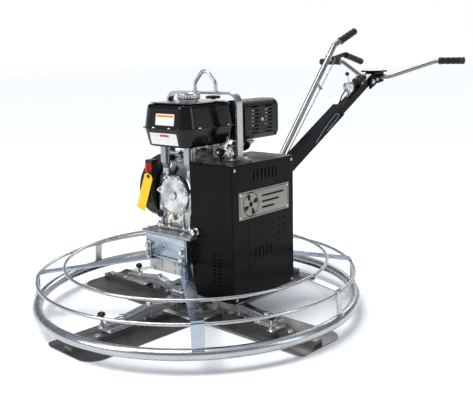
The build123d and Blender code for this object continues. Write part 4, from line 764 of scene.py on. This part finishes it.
def arm_shape(bm):
    """One arm along local x: shank, finger, tapered casting with ribs, and the foot on the blade."""
    upright = basis((1, 0, 0), (0, 0, 1), (0, 0, 0))
    across = basis((0, 1, 0), (0, 0, 1), (0, 0, 0))
    round_solid(bm, [(0, 47), (13.6, 47), (13.6, 134), (0, 134)],
                basis((0, 1, 0), (0, 0, 1), (0, 0, 46)), 32)
    solid(bm, rounded([(-10, 52), (44, 53), (47, 56), (47, 68), (0, 69), (-14, 60), (-16, 40), (-8, 32),
                       (8, 32), (14, 40)], 3), across, 71, 85)
    side_face = rounded([(124, 34), (124, 59), (176, 60), (206, 67.5), (250, 67.5), (330, 56), (404, 52),
                         (404, 21), (292, 21), (270, 37), (226, 39), (190, 34)], 5)
    solid(bm, side_face, upright, -4, 24)
    for low, high in ((-5, 0.5), (19.5, 25)):
        solid(bm, rounded([(150, 52), (176, 60), (206, 68.5), (250, 68.5), (330, 57), (405, 53), (405, 45),
                           (330, 49), (250, 60), (206, 60), (176, 52)], 2), upright, low, high)
        solid(bm, rounded([(292, 20.5), (405, 20.5), (405, 29), (300, 29)], 2), upright, low, high)
    solid(bm, rounded(rect(116, 44, 350, -10), 6), level(0), 20.5, 27.5)
    solid(bm, rounded([(376, -10), (408, -10), (408, -62), (380, -62)], 7), level(0), 20.5, 28)
    for r, top in ((222, 69.5), (340, 57.5)):
        round_solid(bm, [(0, 24), (14.5, 24), (14.5, top), (0, top)], level(0, r, -10), 28)
    round_solid(bm, [(0, 21), (11, 21), (9.5, 36), (0, 36)], level(0, 394, -48), 24)
    for r in (308, 388):
        round_solid(bm, [(0, 20.5), (10, 20.5), (9, 31), (0, 31)], level(0, r, -26), 20)


first_arm = melted("arm_casting_1", arm_shape, CAST_ARM, "arm_1", "cast_arm", voxel=2.2, smooth=4)


def spin(angle):
    """A turn about the rotor axis, in degrees."""
    centre = at(0, 0, 0)
    return (Matrix.Translation(centre) @ Matrix.Rotation(radians(angle), 4, "Z")
            @ Matrix.Translation(-centre))


for number, angle in enumerate(ARM_ANGLES, start=1):
    body = f"arm_{number}"
    if number == 1:
        arm = first_arm
        unturned = arm.data.copy()
    else:
        arm = bpy.data.objects.new(f"arm_casting_{number}", unturned.copy())
        bpy.context.scene.collection.objects.link(arm)
        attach(arm, body)
    here = spin(angle)
    arm.data.transform(here)
    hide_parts(f"trowel_arm_{number}")
    bolts(f"arm_bolts_{number}",
          [(here @ level(69.6, 222, -10), 19, 8, 12), (here @ level(57.6, 340, -10), 17, 7, 11),
           (here @ level(31, 308, -26), 11, 5, 8), (here @ level(31, 388, -26), 11, 5, 8)],
          BOLT, body, "bolt_steel")
    bolts(f"finger_screw_{number}", [(here @ level(68.8, 78, 40), 11, 8, 8)], BOLT, body, "bolt_steel")
    lathe(f"knob_stem_{number}", [(0, 34), (8.5, 34), (8.5, 41), (5, 42), (5, 62), (0, 62)],
          here @ level(0, 394, -48), STEEL, body, "bolt_steel", 18)
    knob = bmesh.new()
    turned(knob, [(0, 60), (6, 60), (9, 62), (13.5, 66), (15, 71), (13.5, 76), (8, 79.4), (0, 80)], 45)
    flute(knob, 8.5, 0.26, 3)
    piece(f"pitch_knob_{number}", knob, here @ level(0, 394, -48), PLASTIC, body, "black_plastic")
    bolts(f"blade_bolts_{number}", [(here @ level(20.2, r, -10), 13, 7, 10) for r in (176, 250, 440, 520)],
          BOLT, body, "bolt_steel")
    bar = bmesh.new()
    slab(bar, rounded([(406, -30), (553, -30), (553, 10), (406, 10)], 2), 20.2, 20.9)
    piece(f"blade_bar_pad_{number}", bar, here @ level(0), BLADE, body, "dark_steel", bevel=0.3)

bolts("plate_screws", [(level(88.7, 84 * cos(radians(a)), 84 * sin(radians(a))), 10, 5, 8)
                       for a in (0, 90, 180, 270)], BOLT, "plate", "bolt_steel")
hub = bmesh.new()
turned(hub, [(17.7, 89), (30.5, 89), (32, 91), (32, 98), (28.6, 101), (28.6, 111.4), (17.7, 111.4),
             (17.7, 89)], 48)
piece("pressure_plate_hub", hub, level(0), STEEL, "plate", "steel")


# ---- guard: welds and spoke bolts ----
def bead(bm, path, r):
    """A rippled weld bead along a path in rotor millimetres."""
    path = [Vector(p) for p in path]
    rows = []
    for i, p in enumerate(path):
        ahead = (path[min(i + 1, len(path) - 1)] - path[max(i - 1, 0)]).normalized()
        one = ahead.orthogonal().normalized()
        two = ahead.cross(one)
        size = r * (1 + 0.16 * (i % 2)) * (0.55 if i in (0, len(path) - 1) else 1)
        rows.append([bm.verts.new(p + (one * cos(a) + two * sin(a)) * size)
                     for a in [2 * pi * k / 8 for k in range(8)]])
    skin(bm, rows)


def polar(angle, r, t=0.0):
    """x and y at a radius along an angle in degrees, moved t square to it."""
    a = radians(angle)
    return r * cos(a) - t * sin(a), r * sin(a) + t * cos(a)


def dress_guard():
    welds = bmesh.new()
    for angle, half in ((7, 15), (180, 15), (-46, 20), (-134, 20), (134, 20), (46, 20)):
        for radius, z in ((577.5, 77.5), (565.0, 79.2)):
            steps = int(half / 1.6)
            bead(welds, [(*polar(angle, radius, -half + 2 * half * k / steps), z)
                         for k in range(steps + 1)], 2.0)
    for angle in (7, 180):
        for r, z in ((466, 189), (561.5, 150)):
            for t in (-15.5, 15.5):
                bead(welds, [(*polar(angle, r + 6.4 * cos(u), t), z + 6.4 * sin(u))
                             for u in [radians(20 * k) for k in range(18)]], 1.5)
    piece("guard_welds", welds, ROTOR_MM, *PLATED)
    places = []
    for x, y, a in ((-84, -148, -134), (-84, 148, 134)):
        end = polar(a, 566)
        u = Vector((end[0] - x, end[1] - y)).normalized()
        places.append((level(210.2, x + u.x * 4, y + u.y * 4), 16, 8, 12))
    bolts("spoke_bolts", places, *BOLTED)


dress_guard()


# ---- mount block: folded front plate, its lip, pads and bolts ----
def dress_mount_block():
    outline = rounded([(-107, 212), (85, 212), (85, 294), (-107, 294)], 3)
    plate("mount_front_plate", outline, front(-140.2), 0, 3.0, *FOLDED)
    plate("mount_front_lip", rounded(rect(150, 5, -11, 218), 2), front(-143.2), 0, 4.5, *FOLDED, 1.2)
    for name, x in (("left", -94), ("right", 72)):
        plate(f"mount_pad_{name}", rounded(rect(24, 62, x, 238), 4), front(-143.3), 0, 2.2, *FOLDED)
        bolts(f"mount_bolts_{name}", [(front(-145.6, x, z), 18, 10, 13) for z in (224, 252)], *BOLTED)
    lathe("mount_hole_rim", [(5.2, 0), (9, 0), (9, 1.0), (8, 1.6), (5.2, 1.6), (5.2, 0)],
          front(-143.4, -20, 270), STEEL, "chassis", "steel", 28)
    plate("deck_front_bar", rounded(rect(170, 8, -30, 301), 2), front(-147.2), 0, 2.4, FRAME_GREY, "chassis",
          "grey_frame", 0.6)


dress_mount_block()


# ---- gearbox cover and lifting bale ----
def dress_gearbox():
    """A rim, screws and an oil plug on the gearbox cover."""
    bolts("gearbox_screws", [(front(-122.2, x, z), 9, 5, 7) for x, z in
                             ((-98, 194), (-98, 164), (76, 194), (76, 164), (10, 164), (10, 194))], *BOLTED)
    plate("gearbox_cover_rim", rounded([(-104, 156), (82, 156), (82, 161), (-104, 161)], 2),
          front(-122.2), 0, 2.4, CAST_BOX, "chassis", "cast_box")
    lathe("gearbox_oil_plug", [(0, 0.2), (8, 0.2), (8, 2), (6, 2.4), (6, 7), (0, 7.4)],
          front(-122.2, 44, 178), BRASS, "chassis", "brass", 6)


dress_gearbox()


def dress_bale():
    welds = bmesh.new()
    for x in (0, 96):
        bead(welds, [(x + 8.2 * cos(a), 20 + 8.2 * sin(a), 781.2)
                     for a in [radians(20 * k) for k in range(19)]], 1.7)
    piece("bale_welds", welds, ROTOR_MM, *PLATED)


dress_bale()


# ---- mast: pinstripe, label and bolts ----
def dress_mast():
    face = mast(21.2)
    trail = bmesh.new()
    points = []
    for k in range(41):
        t = k / 40
        if t < 0.5:
            u = t / 0.5
            points.append((150 + 186 * u, 12 + 27 * sin(u * pi / 2), 0.4))
        else:
            u = (t - 0.5) / 0.5
            points.append((336 + 22 * sin(u * pi) - 150 * max(0, u - 0.4), 39 - 27 * sin(u * pi / 2), 0.4))
    swept(trail, [Vector(p) for p in points], rounded(rect(0.8, 3.0), 0.3, 2), (0, 0, 1))
    piece("mast_pinstripe", trail, face, PINSTRIPE, "chassis", "black_paint")
    plate("mast_label_top", rounded(rect(50, 28, 656, 0), 2),
          basis((0, cos(MAST_TILT), sin(MAST_TILT)), (-1, 0, 0), mast_point(0, 0, 37.2)), 0, 0.5, WHITE,
          "chassis", "black_paint", 0)
    bolts("sleeve_bolts", [(on_mast(21.2, s, t), 11, 6, 8)
                           for s, t in ((376, 10), (-60, 26))], MUFFLER, "chassis", "bolt_steel")
    bolts("lever_pivot_nut", [(side(-82.2, *LEVER_PIVOT) @ HALF_TURN, 17, 9, 14)], *BOLTED)


dress_mast()


# ---- handlebar: bracket plate, grips and bolts ----
def ribbed_grip(name, start, direction, length, body, inner=11.2):
    """A moulded grip with finger ridges, a flared collar and a rounded end."""
    radius = 16.6
    direction = Vector(direction).normalized()
    helper = direction.orthogonal().normalized()
    plane = basis(helper, direction.cross(helper), start)
    profile = [(inner, 0), (radius, 0), (radius, 5), (radius - 2.2, 8)]
    count = int((length - 24) / 2)
    for k in range(count):
        d = 10 + 2 * k
        profile.append((radius - 2.2 - 0.7 * cos(pi * k) - 0.9 * cos(2 * pi * d / 26), d))
    profile += [(radius - 1.6, length - 10), (radius - 0.6, length - 6), (radius - 1.4, length - 1.6),
                (radius - 5, length), (0, length)]
    return lathe(name, profile, plane, GRIP, body, "black_rubber", 40)


left = ribbed_grip("grip_left", (-268, 1345, 850), (-1, 0, 0), 116, "chassis")
ribbed_grip("grip_right", (268, 1345, 850), (1, 0, 0), 116, "chassis")
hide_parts("handlebar_grips")
plate("bracket_top_plate", rounded(rect(94, 82, 0, 1222), 6), level(810.2), 0, 1.6, ZINC, "chassis",
      "grey_frame", 0.5)
bolts("bracket_top_bolts", [(level(811.8, x, y), 11, 6, 8) for x in (-34, 34) for y in (1194, 1250)], *BOLTED)
bolts("bracket_side_bolts", [(side(25.2, 1172, 762), 13, 7, 10), (side(25.2, 1208, 772), 11, 6, 8),
                             (side(-25.2, 1172, 762) @ HALF_TURN, 13, 7, 10)], *BOLTED)


# ---- stop switch, throttle lever and cable ----
def dress_throttle():
    box = bmesh.new()
    slab(box, rounded([(568, 37.3), (626, 37.3), (630, 44), (625, 68), (578, 72), (567, 66)], 6), -22, 22)
    body_box = piece("stop_switch_case", box, mast(0), *MOULDED, bevel=4, segments=3)
    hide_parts("stop_switch_box")
    plate("stop_switch_lid", rounded([(573, 42), (622, 42), (619, 64), (580, 67), (573, 62)], 4),
          mast(22.2), 0, 2.4, *MOULDED)
    bolts("stop_switch_screws", [(on_mast(24.6, s, 50), 6, 2.5, 4) for s in (579, 616)], *BOLTED)
    lathe("stop_button", [(0, 0.2), (8, 0.2), (8, 2), (6.5, 3), (6.5, 5), (5.5, 6), (0, 6.4)],
          on_mast(0, 600, 69.2) @ UPWARD, *MOULDED, 28)
    saddle = bmesh.new()
    slab(saddle, rounded([(476, 37.4), (536, 37.4), (536, 41.5), (526, 42.5), (522, 88), (512, 96), (498, 96),
                          (488, 84), (486, 42.5), (476, 41.5)], 2.5), -6, 5.5)
    piece("throttle_saddle", saddle, mast(0), *MACHINED, bevel=1.2)
    lathe("throttle_body", [(0, -20), (18, -20), (21, -17), (21, -7), (0, -7)], on_mast(0, 506, 73),
          *MACHINED, 40)
    bolts("throttle_bolts", [(on_mast(0, s, 41.8, -0.3) @ UPWARD, 8, 4, 5) for s in (481, 531)], *BOLTED)
    lever = bmesh.new()
    turned(lever, [(0, 6.4), (21, 6.4), (22.6, 7.4), (22.6, 13), (21, 14.2), (8, 14.4), (7, 17),
                   (0, 17.4)], 40)
    lever.transform(Matrix.Translation((506, 73, 0)))
    slab(lever, rounded([(499, 76), (513, 76), (510.5, 134), (503.5, 134)], 3), 8.6, 12.2)
    swing = piece("throttle_arm", lever, mast(0), BOLT, "throttle", "zinc")
    lathe("throttle_knob", [(0, -9), (5, -8), (8.6, -3.4), (8.8, 2), (6.4, 7), (0, 9)],
          on_mast(0, 507, 139, 10.4), PLASTIC, "throttle", "black_plastic", 24)
    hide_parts("throttle_lever")

    route = [at(*mast_point(-1, s, t)) for s, t in ((482, 71), (448, 71), (408, 46), (374, 44))]
    curve = bpy.data.curves.new("throttle_cable_line", "CURVE")
    curve.dimensions = "3D"
    line = curve.splines.new("NURBS")
    line.points.add(len(route) - 1)
    for point, place in zip(line.points, route):
        point.co = (*place, 1)
    line.order_u = 3
    line.use_endpoint_u = True
    line.resolution_u = 24
    curve.bevel_depth = 0.003
    curve.bevel_resolution = 6
    curve.use_fill_caps = True
    cable = bpy.data.objects.new("throttle_cable_line", curve)
    bpy.context.scene.collection.objects.link(cable)
    curve.materials.append(RUBBER)
    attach(cable, "chassis")
    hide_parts("throttle_cable")


dress_throttle()


# ---- pitch lever: grip, screws and collars ----
def dress_lever():
    tip = Vector((-60, 1139, 989))
    bend = Vector(lever_point(-60, 770.5))
    along = (bend - tip).normalized()
    grip = ribbed_grip("pitch_grip", tuple(tip + along * 122), -along, 127, "lever", inner=12.1)
    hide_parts("pitch_lever_grip")
    bolts("lever_screws", [(side(*lever_point(-47.8, d)), 10, 5, 8) for d in (152, 562)], BOLT, "lever",
          "bolt_steel")
    collars = bmesh.new()
    across, ahead = Vector((1, 0, 0)), Vector((0, *LEVER_RISE))
    up_dir = ahead.cross(across)
    for d in (60, 700):
        spot = Vector(lever_point(-60, d))
        skin(collars, [[collars.verts.new(spot + ahead * k + (across * cos(a) + up_dir * sin(a)) * r)
                        for a in [2 * pi * n / 32 for n in range(32)]]
                       for k, r in ((0, 12.6), (1, 14.6), (11, 14.6), (12, 12.6))])
    piece("lever_collars", collars, ROTOR_MM, STEEL, "lever", "steel")


dress_lever()
